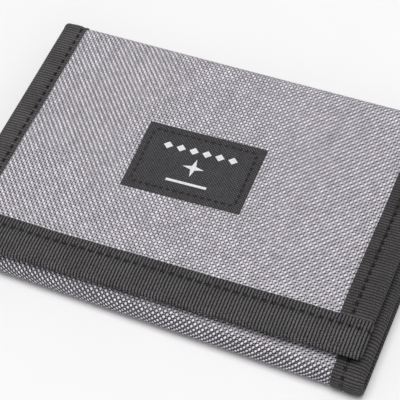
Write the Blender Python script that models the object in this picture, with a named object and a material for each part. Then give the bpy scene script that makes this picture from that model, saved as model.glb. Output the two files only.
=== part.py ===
"""A fabric three-fold wallet, closed and lying on its back.

X runs along the folds, +Y points to the far fold, +Z is up, and the origin is the
middle of the footprint on the surface it lies on.

Three panels of one strip of cloth are folded over each other: the back panel lies
underneath, the short inner panel folds in from the near side, and the flap folds over
both from the far side.  Each fold is a narrow spine between two corners, and the strip
bends at the corners, so each fold has two hinge lines.
"""

from math import cos, pi, sin
from math import radians

import bmesh
import bpy
from mathutils import Matrix, Vector

MM = 0.001

# Driving dimensions of the closed wallet.
BODY_WIDTH = 130 * MM
FLAP_WIDTH = 125 * MM
DEPTH = 90 * MM
HEIGHT = 12 * MM
INNER_HEIGHT = 8.1 * MM
INNER_LENGTH = 44 * MM
FLAP_SETBACK = 3.0 * MM
FAR_RADIUS = 4.0 * MM
NEAR_RADIUS = 3.5 * MM

# A corner of cloth keeps its length when it opens about a line this share of its
# radius in from both faces.
HINGE_SHARE = 0.215

# Cloth, lining and tape, measured as depths in from a panel's outer face.
GAP = 0.3 * MM
TAPE = 0.4 * MM
SHELL = (0.7 * MM, 1.3 * MM)
SHELL_FLUSH = (0.0, 0.6 * MM)
LINING = (1.6 * MM, 2.0 * MM)
BOUND_TOGETHER = (0.0, 2.7 * MM)
BOUND_SHELL_ONLY = (0.0, 2.0 * MM)
EDGE_INSET = 1.8 * MM
ARC_STEPS = 6

# Widths of binding tape seen on each edge.
BODY_TAPE = 9.0 * MM
FLAP_LEFT_TAPE = 7.4 * MM
FLAP_RIGHT_TAPE = 9.6 * MM
FLAP_EDGE_TAPE = 11.5 * MM
INNER_EDGE_TAPE = 9.0 * MM

# The lining's free edge on the right is the mouth of the note pocket.
HEM_WIDTH = 6.5 * MM
HEM = (2.3 * MM, 2.5 * MM)

# Label sewn on the flap, a little askew.
LABEL_SIZE = (36.4 * MM, 24.4 * MM)
LABEL_CENTRE = (-3.0 * MM, 3.2 * MM)
LABEL_TURN = radians(1.3)
LABEL = (0.0, 0.4 * MM)

# Hook and loop closure.
HOOK_SIZE = (88 * MM, 12 * MM)
HOOK_CENTRE_Y = -24 * MM
HOOK = (2.3 * MM, 2.9 * MM)
LOOP_SIZE = (92 * MM, 13 * MM)
LOOP_CENTRE_Y = -24.6 * MM
LOOP = (-0.5 * MM, 0.4 * MM)

# Two stepped card pockets on the back panel.
CARD_HALF_WIDTH = 47.5 * MM
CARD_END = 40.6 * MM
CARD_MOUTHS = (-14 * MM, -4 * MM)
CARD_SHEETS = ((2.8 * MM, 3.1 * MM), (3.7 * MM, 4.0 * MM))
CARD_TAPE_WIDTH = 5.0 * MM
CARD_BLOCK = (2.3 * MM, 4.5 * MM)
CARD_TAPE = 0.2 * MM

# Clear card window on the inside of the flap.
WINDOW_X = (-49 * MM, 44 * MM)
WINDOW_Y = (-17 * MM, 39.5 * MM)
WINDOW = (2.8 * MM, 3.1 * MM)
WINDOW_TAPE_WIDTH = 4.0 * MM
WINDOW_BLOCK = (2.3 * MM, 3.6 * MM)
WINDOW_TAPE = 0.2 * MM

# Zipped coin pocket on the inside of the inner panel.
POCKET_FRONT = (2.3 * MM, 2.6 * MM)
POCKET_BOUND = (0.0, 3.2 * MM)
ZIP_Y = -22 * MM
ZIP_HALF_LENGTH = 50 * MM
COIL = (2.1 * MM, 2.9 * MM)
COIL_WIDTH = 1.7 * MM
COIL_SPLIT = 0.9 * MM
ZIP_TAPE = (1.75 * MM, 2.0 * MM)
ZIP_TAPE_WIDTH = 7.5 * MM
ZIP_OPENING = 6.6 * MM
STOP_LENGTH = 1.6 * MM

# Slider and pull.
SLIDER_X = 43 * MM
SLIDER_LENGTH = 8.0 * MM
SLIDER_INNER = (1.6 * MM, 1.85 * MM)
SLIDER_OUTER = (3.1 * MM, 3.4 * MM)
SLIDER_INNER_WIDTH = 4.0 * MM
SLIDER_OUTER_WIDTH = 6.0 * MM
NECK_SIZE = (2.0 * MM, 0.3 * MM)
BAIL_LENGTH = 3.0 * MM
BAIL_WIDTH = 1.4 * MM
BAIL_DEPTH = 4.5 * MM
BAIL_WALL = 0.3 * MM
PULL = (3.6 * MM, 4.0 * MM)
PULL_LENGTH = 12 * MM
PULL_WIDTH = 4.4 * MM
PULL_EYE = (2.8 * MM, 2.4 * MM)
PULL_BAR = 0.5 * MM

# Places worked out from the dimensions above.
HALF_DEPTH = DEPTH / 2
FAR_PIVOT = HINGE_SHARE * FAR_RADIUS
NEAR_PIVOT = HINGE_SHARE * NEAR_RADIUS
FAR_PANEL_END = HALF_DEPTH - FAR_RADIUS - GAP
NEAR_PANEL_END = -(HALF_DEPTH - NEAR_RADIUS - GAP)
FLAP_EDGE = -HALF_DEPTH + FLAP_SETBACK
INNER_EDGE = -HALF_DEPTH + INNER_LENGTH
PIVOT_OF_PULL = (
    SLIDER_X,
    ZIP_Y,
    INNER_HEIGHT - (PULL[0] + PULL[1]) / 2,
)

BODY_ORIGINS = {
    "back_panel": (0, 0, 0),
    "far_spine": (0, HALF_DEPTH - FAR_PIVOT, FAR_PIVOT),
    "flap": (0, HALF_DEPTH - FAR_PIVOT, HEIGHT - FAR_PIVOT),
    "near_spine": (0, NEAR_PIVOT - HALF_DEPTH, NEAR_PIVOT),
    "inner_panel": (0, NEAR_PIVOT - HALF_DEPTH, INNER_HEIGHT - NEAR_PIVOT),
    "zip_slider": (SLIDER_X, ZIP_Y, INNER_HEIGHT - SLIDER_OUTER[0]),
    "zip_pull": PIVOT_OF_PULL,
}

BODY_PARENTS = {
    "far_spine": "back_panel",
    "flap": "far_spine",
    "near_spine": "back_panel",
    "inner_panel": "near_spine",
    "zip_slider": "inner_panel",
    "zip_pull": "zip_slider",
}

# Linear colour, roughness, metallic.
FINISHES = {
    "grey_cloth": ((0.36, 0.345, 0.38), 0.85, 0.0),
    "black_tape": ((0.030, 0.029, 0.031), 0.7, 0.0),
    "black_lining": ((0.022, 0.022, 0.024), 0.75, 0.0),
    "black_label": ((0.028, 0.027, 0.030), 0.8, 0.0),
    "black_hook_and_loop": ((0.018, 0.018, 0.019), 0.9, 0.0),
    "clear_vinyl": ((0.80, 0.82, 0.84), 0.12, 0.0),
    "black_coil": ((0.015, 0.015, 0.016), 0.4, 0.0),
    "dark_metal": ((0.20, 0.20, 0.21), 0.35, 1.0),
}

BACK = (0.0, 1)
FLAP = (HEIGHT, -1)
INNER = (INNER_HEIGHT, -1)


def clear_scene():
    for thing in list(bpy.data.objects):
        bpy.data.objects.remove(thing, do_unlink=True)


def make_materials():
    materials = {}
    for name, (colour, roughness, metallic) in FINISHES.items():
        material = bpy.data.materials.new(name)
        material.use_nodes = True
        shader = material.node_tree.nodes["Principled BSDF"]
        shader.inputs["Base Color"].default_value = (*colour, 1)
        shader.inputs["Roughness"].default_value = roughness
        shader.inputs["Metallic"].default_value = metallic
        materials[name] = material
    return materials


def make_bodies():
    """An empty on each body's hinge line, carrying the body's pieces."""
    empties = {}
    for name, place in BODY_ORIGINS.items():
        empty = bpy.data.objects.new(f"{name}_frame", None)
        bpy.context.collection.objects.link(empty)
        parent = BODY_PARENTS.get(name)
        empty.parent = empties.get(parent)
        start = Vector(BODY_ORIGINS[parent]) if parent else Vector()
        empty.location = Vector(place) - start
        empties[name] = empty
    return empties


def add_solid(name, body, finish, bm):
    """One closed mesh, given in world coordinates, hung on its body's empty."""
    bmesh.ops.recalc_face_normals(bm, faces=bm.faces)
    bmesh.ops.translate(bm, verts=bm.verts, vec=-Vector(BODY_ORIGINS[body]))
    mesh = bpy.data.meshes.new(name)
    bm.to_mesh(mesh)
    bm.free()
    mesh.materials.append(MATERIALS[finish])
    solid = bpy.data.objects.new(name, mesh)
    solid.parent = BODIES[body]
    bpy.context.collection.objects.link(solid)
    return solid


def loft(rings):
    """A closed skin through rings of points, capped at both ends."""
    bm = bmesh.new()
    loops = [[bm.verts.new(point) for point in ring] for ring in rings]
    for lower, upper in zip(loops, loops[1:]):
        for i in range(len(lower)):
            j = (i + 1) % len(lower)
            bm.faces.new((lower[i], lower[j], upper[j], upper[i]))
    bm.faces.new(loops[0])
    bm.faces.new(loops[-1])
    return bm


def flat_path(panel, start, end):
    """Two stations along Y on a flat panel: place, inward direction, share of path."""
    face, inward = panel
    return [(start, face, 0, inward, 0), (end, face, 0, inward, 1)]


def fold_path(side, height, radius):
    """Stations round a fold from its lower face to its upper one."""
    stations = []
    for centre, first in ((radius, -pi / 2), (height - radius, 0)):
        for step in range(ARC_STEPS + 1):
            angle = first + pi / 2 * step / ARC_STEPS
            y = HALF_DEPTH - radius + radius * cos(angle)
            z = centre + radius * sin(angle)
            stations.append((side * y, z, -side * cos(angle), -sin(angle)))
    last = len(stations) - 1
    return [(*place, i / last) for i, place in enumerate(stations)]


def sweep(name, body, finish, path, section):
    """Carries a section of (x, depth) points along a path in the YZ plane."""
    rings = []
    for y, z, in_y, in_z, share in path:
        rings.append([(x, y + d * in_y, z + d * in_z) for x, d in section(share)])
    return add_solid(name, body, finish, loft(rings))


def bar(name, body, finish, panel, reach, outline):
    """Carries an outline of (y, depth) points straight along X."""
    face, inward = panel
    rings = [[(x, y, face + inward * d) for y, d in outline] for x in reach]
    return add_solid(name, body, finish, loft(rings))


def sheet_outline(low, high, depths):
    return [(low, depths[0]), (high, depths[0]), (high, depths[1]), (low, depths[1])]


def folded_outline(edge, tip, depths, thickness):
    """Tape folded round an edge: two legs ending at tip, and a round web."""
    toward = 1 if tip > edge else -1
    middle = (depths[0] + depths[1]) / 2
    outer = (depths[1] - depths[0]) / 2
    inner = outer - thickness
    centre = edge + toward * outer

    def web(radius, angles):
        return [(centre - toward * radius * cos(a), middle + radius * sin(a)) for a in angles]

    angles = [pi * (i / ARC_STEPS - 0.5) for i in range(ARC_STEPS + 1)]
    points = [(tip, depths[0])] + web(outer, angles) + [(tip, depths[1])]
    points += [(tip, depths[1] - thickness)] + web(inner, reversed(angles))
    return points + [(tip, depths[0] + thickness)]


def sheet(name, body, finish, panel, spans, depths):
    """A flat rectangular sheet on a panel; spans are its X and Y limits."""
    (x0, x1), (y0, y1) = spans
    section = sheet_outline(x0, x1, depths)
    return sweep(name, body, finish, flat_path(panel, y0, y1), lambda share: section)


def blend(a, b, share):
    return a + (b - a) * share


def add_shells():
    """The grey cloth: three panels and the two folds between them."""
    inset = EDGE_INSET
    body_half = BODY_WIDTH / 2 - inset
    flap_half = FLAP_WIDTH / 2 - inset
    step = BODY_WIDTH / 2 - BODY_TAPE - GAP
    back = [
        (-body_half, SHELL[0]),
        (-step, SHELL[0]),
        (-step, SHELL_FLUSH[0]),
        (step, SHELL_FLUSH[0]),
        (step, SHELL[0]),
        (body_half, SHELL[0]),
        (body_half, SHELL[1]),
        (step - SHELL[0], SHELL[1]),
        (step - SHELL[0], SHELL_FLUSH[1]),
        (SHELL[0] - step, SHELL_FLUSH[1]),
        (SHELL[0] - step, SHELL[1]),
        (-body_half, SHELL[1]),
    ]
    path = flat_path(BACK, NEAR_PANEL_END, FAR_PANEL_END)
    sweep("shell_back", "back_panel", "grey_cloth", path, lambda share: back)

    def far_section(share):
        half = blend(body_half, flap_half, share)
        return sheet_outline(-half, half, SHELL)

    def near_section(share):
        return sheet_outline(-body_half, body_half, SHELL)

    sweep("shell_far_fold", "far_spine", "grey_cloth", FAR_PATH, far_section)
    sweep("shell_near_fold", "near_spine", "grey_cloth", NEAR_PATH, near_section)
    flap_span = ((-flap_half, flap_half), (FLAP_EDGE + inset, FAR_PANEL_END))
    sheet("shell_flap", "flap", "grey_cloth", FLAP, flap_span, SHELL)
    inner_span = ((-body_half, body_half), (NEAR_PANEL_END, INNER_EDGE - inset))
    sheet("shell_inner", "inner_panel", "grey_cloth", INNER, inner_span, SHELL)


def add_linings():
    """The lining; on the right it stops at a hem, the mouth of the note pocket."""
    inset = EDGE_INSET
    body_left = inset - BODY_WIDTH / 2
    flap_left = inset - FLAP_WIDTH / 2
    body_half = BODY_WIDTH / 2 - inset
    body_hem = BODY_WIDTH / 2 - BODY_TAPE - GAP - SHELL[0] - GAP
    flap_hem = FLAP_WIDTH / 2 - FLAP_RIGHT_TAPE - GAP

    def lining(share):
        left = blend(body_left, flap_left, share)
        return sheet_outline(left, blend(body_hem, flap_hem, share), LINING)

    def hem(share):
        edge = blend(body_hem, flap_hem, share)
        return sheet_outline(edge - HEM_WIDTH, edge, HEM)

    def near_section(share):
        return sheet_outline(-body_half, body_half, LINING)

    back_path = flat_path(BACK, NEAR_PANEL_END, FAR_PANEL_END)
    flap_path = flat_path(FLAP, FLAP_EDGE + inset, FAR_PANEL_END)
    hem_path = flat_path(FLAP, FLAP_EDGE + FLAP_EDGE_TAPE + GAP, FAR_PANEL_END)
    for body, suffix, lining_path, trim_path, share in (
        ("back_panel", "back", back_path, back_path, 0),
        ("flap", "flap", flap_path, hem_path, 1),
    ):
        points = lining(share)
        sweep(f"lining_{suffix}", body, "black_lining", lining_path, lambda s, p=points: p)
        trim = hem(share)
        sweep(f"lining_hem_{suffix}", body, "black_tape", trim_path, lambda s, p=trim: p)
    sweep("lining_far_fold", "far_spine", "black_lining", FAR_PATH, lining)
    sweep("lining_hem_far_fold", "far_spine", "black_tape", FAR_PATH, hem)
    sweep("lining_near_fold", "near_spine", "black_lining", NEAR_PATH, near_section)


def add_side_bindings():
    """Tape folded round the left and right edges of the panels and folds."""
    edges = {"left": -1, "right": 1}
    flap_tapes = {"left": FLAP_LEFT_TAPE, "right": FLAP_RIGHT_TAPE}
    far_depths = {"left": BOUND_TOGETHER, "right": BOUND_SHELL_ONLY}
    back_path = flat_path(BACK, NEAR_PANEL_END, FAR_PANEL_END)
    flap_path = flat_path(FLAP, FLAP_EDGE + FLAP_EDGE_TAPE + GAP, FAR_PANEL_END)
    inner_path = flat_path(INNER, NEAR_PANEL_END, INNER_EDGE - INNER_EDGE_TAPE - GAP)
    for name, side in edges.items():

        def tape(share, depths, side=side, name=name):
            half = blend(BODY_WIDTH, FLAP_WIDTH, share) / 2
            width = blend(BODY_TAPE, flap_tapes[name], share)
            return folded_outline(side * half, side * (half - width), depths, TAPE)

        far = far_depths[name]
        runs = (
            ("back", "back_panel", back_path, lambda s, d=far: tape(0, d)),
            ("far_fold", "far_spine", FAR_PATH, lambda s, d=far: tape(s, d)),
            ("flap", "flap", flap_path, lambda s, d=far: tape(1, d)),
            ("near_fold", "near_spine", NEAR_PATH, lambda s: tape(0, BOUND_TOGETHER)),
            ("inner", "inner_panel", inner_path, lambda s: tape(0, POCKET_BOUND)),
        )
        for place, body, path, section in runs:
            sweep(f"binding_{place}_{name}", body, "black_tape", path, section)


def add_edge_bindings():
    """Tape folded round the free edges of the flap and of the inner panel."""
    flap_half = FLAP_WIDTH / 2
    inner_half = BODY_WIDTH / 2
    flap = folded_outline(FLAP_EDGE, FLAP_EDGE + FLAP_EDGE_TAPE, BOUND_TOGETHER, TAPE)
    inner = folded_outline(INNER_EDGE, INNER_EDGE - INNER_EDGE_TAPE, POCKET_BOUND, TAPE)
    reach = (-flap_half, flap_half)
    bar("binding_flap_edge", "flap", "black_tape", FLAP, reach, flap)
    reach = (-inner_half, inner_half)
    bar("binding_inner_edge", "inner_panel", "black_tape", INNER, reach, inner)


def add_label():
    """The label sewn on the flap's outer face."""
    bm = bmesh.new()
    width, height = LABEL_SIZE
    thick = LABEL[1] - LABEL[0]
    size = Matrix.Diagonal((width, height, thick, 1))
    place = Matrix.Translation((*LABEL_CENTRE, HEIGHT - LABEL[0] - thick / 2))
    turn = Matrix.Rotation(LABEL_TURN, 4, "Z")
    bmesh.ops.create_cube(bm, size=1, matrix=place @ turn @ size)
    add_solid("label_patch", "flap", "black_label", bm)


def add_closure():
    """The hook strip inside the flap and the loop strip it meets on the inner panel."""
    for name, body, panel, size, middle, depths in (
        ("hook_strip", "flap", FLAP, HOOK_SIZE, HOOK_CENTRE_Y, HOOK),
        ("loop_strip", "inner_panel", INNER, LOOP_SIZE, LOOP_CENTRE_Y, LOOP),
    ):
        half_x = size[0] / 2
        half_y = size[1] / 2
        spans = ((-half_x, half_x), (middle - half_y, middle + half_y))
        sheet(name, body, "black_hook_and_loop", panel, spans, depths)


def add_card_pockets():
    """Two stepped pockets on the back panel, bound on three sides as one block."""
    body = "back_panel"
    inset = CARD_TAPE_WIDTH / 3
    half = CARD_HALF_WIDTH - inset
    for level, mouth, depths in zip(("lower", "upper"), CARD_MOUTHS, CARD_SHEETS):
        spans = ((-half, half), (mouth + inset / 2, CARD_END - inset))
        sheet(f"card_pocket_{level}", body, "black_lining", BACK, spans, depths)
        around = (depths[0] - GAP - CARD_TAPE / 2, depths[1] + GAP + CARD_TAPE / 2)
        outline = folded_outline(mouth, mouth + CARD_TAPE_WIDTH, around, CARD_TAPE / 2)
        reach = CARD_HALF_WIDTH - CARD_TAPE_WIDTH - GAP
        bar(f"card_pocket_hem_{level}", body, "black_tape", BACK, (-reach, reach), outline)
    path = flat_path(BACK, CARD_MOUTHS[0], CARD_END - CARD_TAPE_WIDTH - GAP)
    for name, side in (("left", -1), ("right", 1)):
        edge = side * CARD_HALF_WIDTH
        tip = edge - side * CARD_TAPE_WIDTH
        outline = folded_outline(edge, tip, CARD_BLOCK, CARD_TAPE)
        sweep(f"card_tape_{name}", body, "black_tape", path, lambda s, p=outline: p)
    end = folded_outline(CARD_END, CARD_END - CARD_TAPE_WIDTH, CARD_BLOCK, CARD_TAPE)
    reach = (-CARD_HALF_WIDTH, CARD_HALF_WIDTH)
    bar("card_tape_end", body, "black_tape", BACK, reach, end)


def add_card_window():
    """A clear window inside the flap, bound all round and open towards the edge."""
    body = "flap"
    (x0, x1), (y0, y1) = WINDOW_X, WINDOW_Y
    width = WINDOW_TAPE_WIDTH
    inset = width / 3
    spans = ((x0 + inset, x1 - inset), (y0 + inset, y1 - inset))
    sheet("card_window", body, "clear_vinyl", FLAP, spans, WINDOW)
    path = flat_path(FLAP, y0 + width + GAP, y1 - width - GAP)
    for name, edge, tip in (("left", x0, x0 + width), ("right", x1, x1 - width)):
        outline = folded_outline(edge, tip, WINDOW_BLOCK, WINDOW_TAPE)
        sweep(f"window_tape_{name}", body, "black_tape", path, lambda s, p=outline: p)
    for name, edge, tip in (("mouth", y0, y0 + width), ("end", y1, y1 - width)):
        outline = folded_outline(edge, tip, WINDOW_BLOCK, WINDOW_TAPE)
        bar(f"window_tape_{name}", body, "black_tape", FLAP, (x0, x1), outline)


def add_coin_pocket():
    """The coin pocket's front, split by a zip along X."""
    body = "inner_panel"
    half = BODY_WIDTH / 2 - EDGE_INSET
    opening = ZIP_OPENING / 2
    fronts = (
        ("coin_pocket_front", NEAR_PANEL_END, ZIP_Y - opening),
        ("coin_pocket_top", ZIP_Y + opening, INNER_EDGE - EDGE_INSET),
    )
    for name, y0, y1 in fronts:
        sheet(name, body, "black_lining", INNER, ((-half, half), (y0, y1)), POCKET_FRONT)
    near = COIL_SPLIT / 2
    beyond = near + COIL_WIDTH
    reach = (-ZIP_HALF_LENGTH, ZIP_HALF_LENGTH)
    stop_reach = ZIP_HALF_LENGTH + GAP
    for name, side in (("near", -1), ("far", 1)):
        row = sorted((ZIP_Y + side * near, ZIP_Y + side * beyond))
        sheet(f"zip_coil_{name}", body, "black_coil", INNER, (reach, row), COIL)
        ends = (ZIP_Y + side * (beyond + GAP), ZIP_Y + side * (beyond + ZIP_TAPE_WIDTH))
        tape_reach = (-stop_reach - STOP_LENGTH, stop_reach + STOP_LENGTH)
        spans = (tape_reach, sorted(ends))
        sheet(f"zip_tape_{name}", body, "black_lining", INNER, spans, ZIP_TAPE)
    for name, side in (("left", -1), ("right", 1)):
        ends = sorted((side * stop_reach, side * (stop_reach + STOP_LENGTH)))
        spans = (ends, (ZIP_Y - beyond, ZIP_Y + beyond))
        sheet(f"zip_stop_{name}", body, "dark_metal", INNER, spans, COIL)


def box_mesh(x_limits, y_limits, depths):
    """A box on the inner panel, from X and Y limits and depths."""
    low = Vector((x_limits[0], y_limits[0], INNER_HEIGHT - depths[1]))
    high = Vector((x_limits[1], y_limits[1], INNER_HEIGHT - depths[0]))
    bm = bmesh.new()
    size = Matrix.Diagonal((*(high - low), 1))
    bmesh.ops.create_cube(bm, size=1, matrix=Matrix.Translation((low + high) / 2) @ size)
    return bm


def add_union(name, body, finish, boxes):
    """Boxes that overlap, joined into one solid."""
    solid = add_solid(name, body, finish, box_mesh(*boxes[0]))
    others = [add_solid(f"{name}_part", body, finish, box_mesh(*box)) for box in boxes[1:]]
    for other in others:
        join = solid.modifiers.new("join", "BOOLEAN")
        join.operation = "UNION"
        join.solver = "EXACT"
        join.object = other
    bpy.context.view_layer.update()
    evaluated = solid.evaluated_get(bpy.context.evaluated_depsgraph_get())
    joined = bpy.data.meshes.new_from_object(evaluated)
    solid.modifiers.clear()
    solid.data = joined
    for other in others:
        bpy.data.objects.remove(other, do_unlink=True)
    return solid


def centred(middle, width):
    return (middle - width / 2, middle + width / 2)


def add_slider():
    """Two plates joined by a thin neck between the coils, and a bail for the pull."""
    overlap = 0.05 * MM
    length = centred(SLIDER_X, SLIDER_LENGTH)
    neck = (SLIDER_INNER[1] - overlap, SLIDER_OUTER[0] + overlap)
    bail = centred(SLIDER_X, BAIL_LENGTH)
    bail_y = centred(ZIP_Y, BAIL_WIDTH)
    foot = (SLIDER_OUTER[1] - overlap, BAIL_DEPTH)
    boxes = (
        (length, centred(ZIP_Y, SLIDER_OUTER_WIDTH), SLIDER_OUTER),
        (length, centred(ZIP_Y, SLIDER_INNER_WIDTH), SLIDER_INNER),
        (centred(SLIDER_X, NECK_SIZE[0]), centred(ZIP_Y, NECK_SIZE[1]), neck),
        ((bail[0], bail[0] + BAIL_WALL), bail_y, foot),
        ((bail[1] - BAIL_WALL, bail[1]), bail_y, foot),
        (bail, bail_y, (BAIL_DEPTH - BAIL_WALL, BAIL_DEPTH)),
    )
    add_union("zip_slider", "zip_slider", "dark_metal", boxes)


def add_pull():
    """A flat pull whose eye loops through the bail; its bar is the hinge."""
    eye_length, eye_width = PULL_EYE
    bar_x = centred(SLIDER_X, PULL_BAR)
    tab_end = SLIDER_X - PULL_LENGTH
    eye_end = bar_x[0] - eye_length
    side = (PULL_WIDTH - eye_width) / 2
    width = centred(ZIP_Y, PULL_WIDTH)
    boxes = (
        ((tab_end, eye_end), width, PULL),
        ((eye_end - side, bar_x[1]), (width[0], width[0] + side), PULL),
        ((eye_end - side, bar_x[1]), (width[1] - side, width[1]), PULL),
        (bar_x, width, PULL),
    )
    add_union("zip_pull", "zip_pull", "dark_metal", boxes)


clear_scene()
MATERIALS = make_materials()
BODIES = make_bodies()
FAR_PATH = fold_path(1, HEIGHT, FAR_RADIUS)
NEAR_PATH = fold_path(-1, INNER_HEIGHT, NEAR_RADIUS)
add_shells()
add_linings()
add_side_bindings()
add_edge_bindings()
add_label()
add_closure()
add_card_pockets()
add_card_window()
add_coin_pocket()
add_slider()
add_pull()
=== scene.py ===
"""The looks of a closed three-fold fabric wallet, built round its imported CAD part.

The wallet is one strip: the inner panel, the near fold, the back panel, the far fold
and the flap.  Every sheet and tape is placed by three numbers: x across the strip, s
along its outer face from the inner panel's free edge, and depth in from that face.
"""

from math import cos, pi, radians, sin

import bmesh
import bpy
import numpy as np
from mathutils import Matrix, Vector


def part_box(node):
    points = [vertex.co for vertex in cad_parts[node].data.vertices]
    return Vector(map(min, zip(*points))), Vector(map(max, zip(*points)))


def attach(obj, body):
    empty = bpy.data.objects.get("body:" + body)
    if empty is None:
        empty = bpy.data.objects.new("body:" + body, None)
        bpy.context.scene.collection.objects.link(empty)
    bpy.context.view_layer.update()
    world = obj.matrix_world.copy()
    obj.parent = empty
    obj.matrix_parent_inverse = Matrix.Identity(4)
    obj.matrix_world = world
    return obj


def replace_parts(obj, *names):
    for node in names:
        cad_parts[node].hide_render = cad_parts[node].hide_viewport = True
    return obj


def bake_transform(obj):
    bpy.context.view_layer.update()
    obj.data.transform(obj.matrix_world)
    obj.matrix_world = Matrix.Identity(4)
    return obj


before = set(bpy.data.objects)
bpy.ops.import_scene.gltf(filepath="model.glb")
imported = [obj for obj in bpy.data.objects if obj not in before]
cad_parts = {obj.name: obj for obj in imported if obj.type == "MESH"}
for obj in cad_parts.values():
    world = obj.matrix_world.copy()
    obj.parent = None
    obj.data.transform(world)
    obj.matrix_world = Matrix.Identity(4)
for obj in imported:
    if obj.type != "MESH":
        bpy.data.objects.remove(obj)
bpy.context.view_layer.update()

MM = 0.001

# The strip's own sizes, read from the CAD pieces.
FLAP_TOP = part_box("binding_flap_left")[1].z
INNER_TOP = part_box("binding_inner_left")[1].z
HALF_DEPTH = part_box("binding_far_fold_left")[1].y
BODY_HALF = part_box("binding_back_right")[1].x
FLAP_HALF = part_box("binding_flap_right")[1].x
FLAP_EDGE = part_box("binding_flap_edge")[0].y
INNER_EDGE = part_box("binding_inner_edge")[1].y
FLAP_EDGE_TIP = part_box("binding_flap_edge")[1].y
INNER_EDGE_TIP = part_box("binding_inner_edge")[0].y
BODY_TAPE = BODY_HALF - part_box("binding_back_right")[0].x
FLAP_LEFT_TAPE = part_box("binding_flap_left")[1].x + FLAP_HALF
FLAP_RIGHT_TAPE = FLAP_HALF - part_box("binding_flap_right")[0].x
FAR_RADIUS = 4.0 * MM
NEAR_RADIUS = 3.5 * MM

# Distances along the strip's outer face where its runs begin and end.
NEAR_QUARTER = pi / 2 * NEAR_RADIUS
FAR_QUARTER = pi / 2 * FAR_RADIUS
NEAR_RISE = INNER_TOP - 2 * NEAR_RADIUS
FAR_RISE = FLAP_TOP - 2 * FAR_RADIUS
S_NEAR_TOP = INNER_EDGE + HALF_DEPTH - NEAR_RADIUS
S_NEAR_MID = S_NEAR_TOP + NEAR_QUARTER + NEAR_RISE / 2
S_BACK_NEAR = S_NEAR_TOP + 2 * NEAR_QUARTER + NEAR_RISE
S_BACK_FAR = S_BACK_NEAR + 2 * HALF_DEPTH - NEAR_RADIUS - FAR_RADIUS
S_FAR_MID = S_BACK_FAR + FAR_QUARTER + FAR_RISE / 2
S_FLAP_FAR = S_BACK_FAR + 2 * FAR_QUARTER + FAR_RISE
S_END = S_FLAP_FAR + HALF_DEPTH - FAR_RADIUS - FLAP_EDGE

# A fold's bending zone starts this far out on the flat panels.  The fold table lists the lines where
# each half of a fold's bend starts and ends, set by one depth per fold.
NEAR_MARGIN = 0.6 * MM
FAR_MARGIN = 1.5 * MM
NEAR_BEND_DEPTH = 2.2 * MM
FAR_BEND_DEPTH = 1.2 * MM

# The near fold is sewn a little out of square with the flap.
NEAR_SKEW = 0.034
FLAP_SKEW = 0.011

# Layers, as depths in from the outer face.  The cloth's margin is how far inside the
# bound edge it stops, under the tape.
TAPE_THICK = 0.36 * MM
INNER_TAPE_THICK = 0.3 * MM
CLOTH_THICK = 0.45 * MM
CLOTH_UNDER_TAPE = 0.42 * MM
CLOTH_OPEN = 0.26 * MM
CLOTH_RESTING = 0.04 * MM
CLOTH_MARGIN = 1.8 * MM
LINING = (1.55 * MM, 1.95 * MM)
BOUND_TOGETHER = (0.0, 2.7 * MM)
BOUND_SHELL_ONLY = (0.0, 2.0 * MM)
POCKET_BOUND = (0.0, 3.2 * MM)

# Cloth, tape and thread.
YARN_PITCH = (0.83 * MM, 0.93 * MM)
RIB_PITCH = 0.92 * MM
RIB_RISE = 0.11 * MM
RIB_STEPS = 6
STITCH_PITCH = 2.7 * MM
STITCH_SIZE = (2.1 * MM, 0.56 * MM, 0.36 * MM)
STITCH_SINK = 0.13 * MM
FINE_STITCH_SINK = 0.08 * MM
SEAM_INSETS = {
    "left": 1.7 * MM,
    "right": 3.2 * MM,
    "edge": 3.0 * MM,
    "inner_edge": 1.8 * MM,
    "inside": 1.2 * MM,
}
HEM_WIDTH = 6.5 * MM
HEM_SEAM = 5.2 * MM
HEM_DEPTHS = (2.02 * MM, 2.32 * MM)

# Label sewn on the flap, a little askew.
LABEL_SIZE = (36.4 * MM, 24.4 * MM)
LABEL_TURN = radians(1.3)
LABEL_SEAM_INSET = 2.2 * MM
LABEL_STITCH_PITCH = 2.1 * MM
LABEL_STITCH_SIZE = (1.6 * MM, 0.42 * MM, 0.26 * MM)
LABEL_RISE = 0.46 * MM
LABEL_THREAD_RISE = 0.32 * MM
PRINT_RISES = (0.44 * MM, 0.49 * MM)

# The zip's coil: its thread's radius, as a share of the width of its turns, and their
# spacing and length.  The seams beside it lie this far in from the cloth's edges.
COIL_TUBE = 0.17
COIL_PITCH = 1.15 * MM
COIL_LENGTH = 1.6 * MM
ZIP_SEAM_INSET = 1.3 * MM

# An edge tape stands out this far past the layers it binds, and past their corners.
EDGE_TAPE_STANDS_OUT = 0.06 * MM
EDGE_TAPE_OVERHANG = 0.1 * MM
CORNER_SEAM_INSET = 5.8 * MM

# The camera looks down at a point of the flap, turned a little about its own line.
CAMERA_TARGET = (3.08 * MM, -7.22 * MM, FLAP_TOP)
CAMERA_DISTANCE = 471.8 * MM
CAMERA_AZIMUTH = radians(27.45)
CAMERA_ELEVATION = radians(52.7)
CAMERA_ROLL = radians(-6.47)

# Points along a tape's legs, and round its folded edge.
LEG_STEPS = 20
INNER_LEG_STEPS = 10
WEB_STEPS = 11


# ---------------------------------------------------------------- the strip


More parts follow.
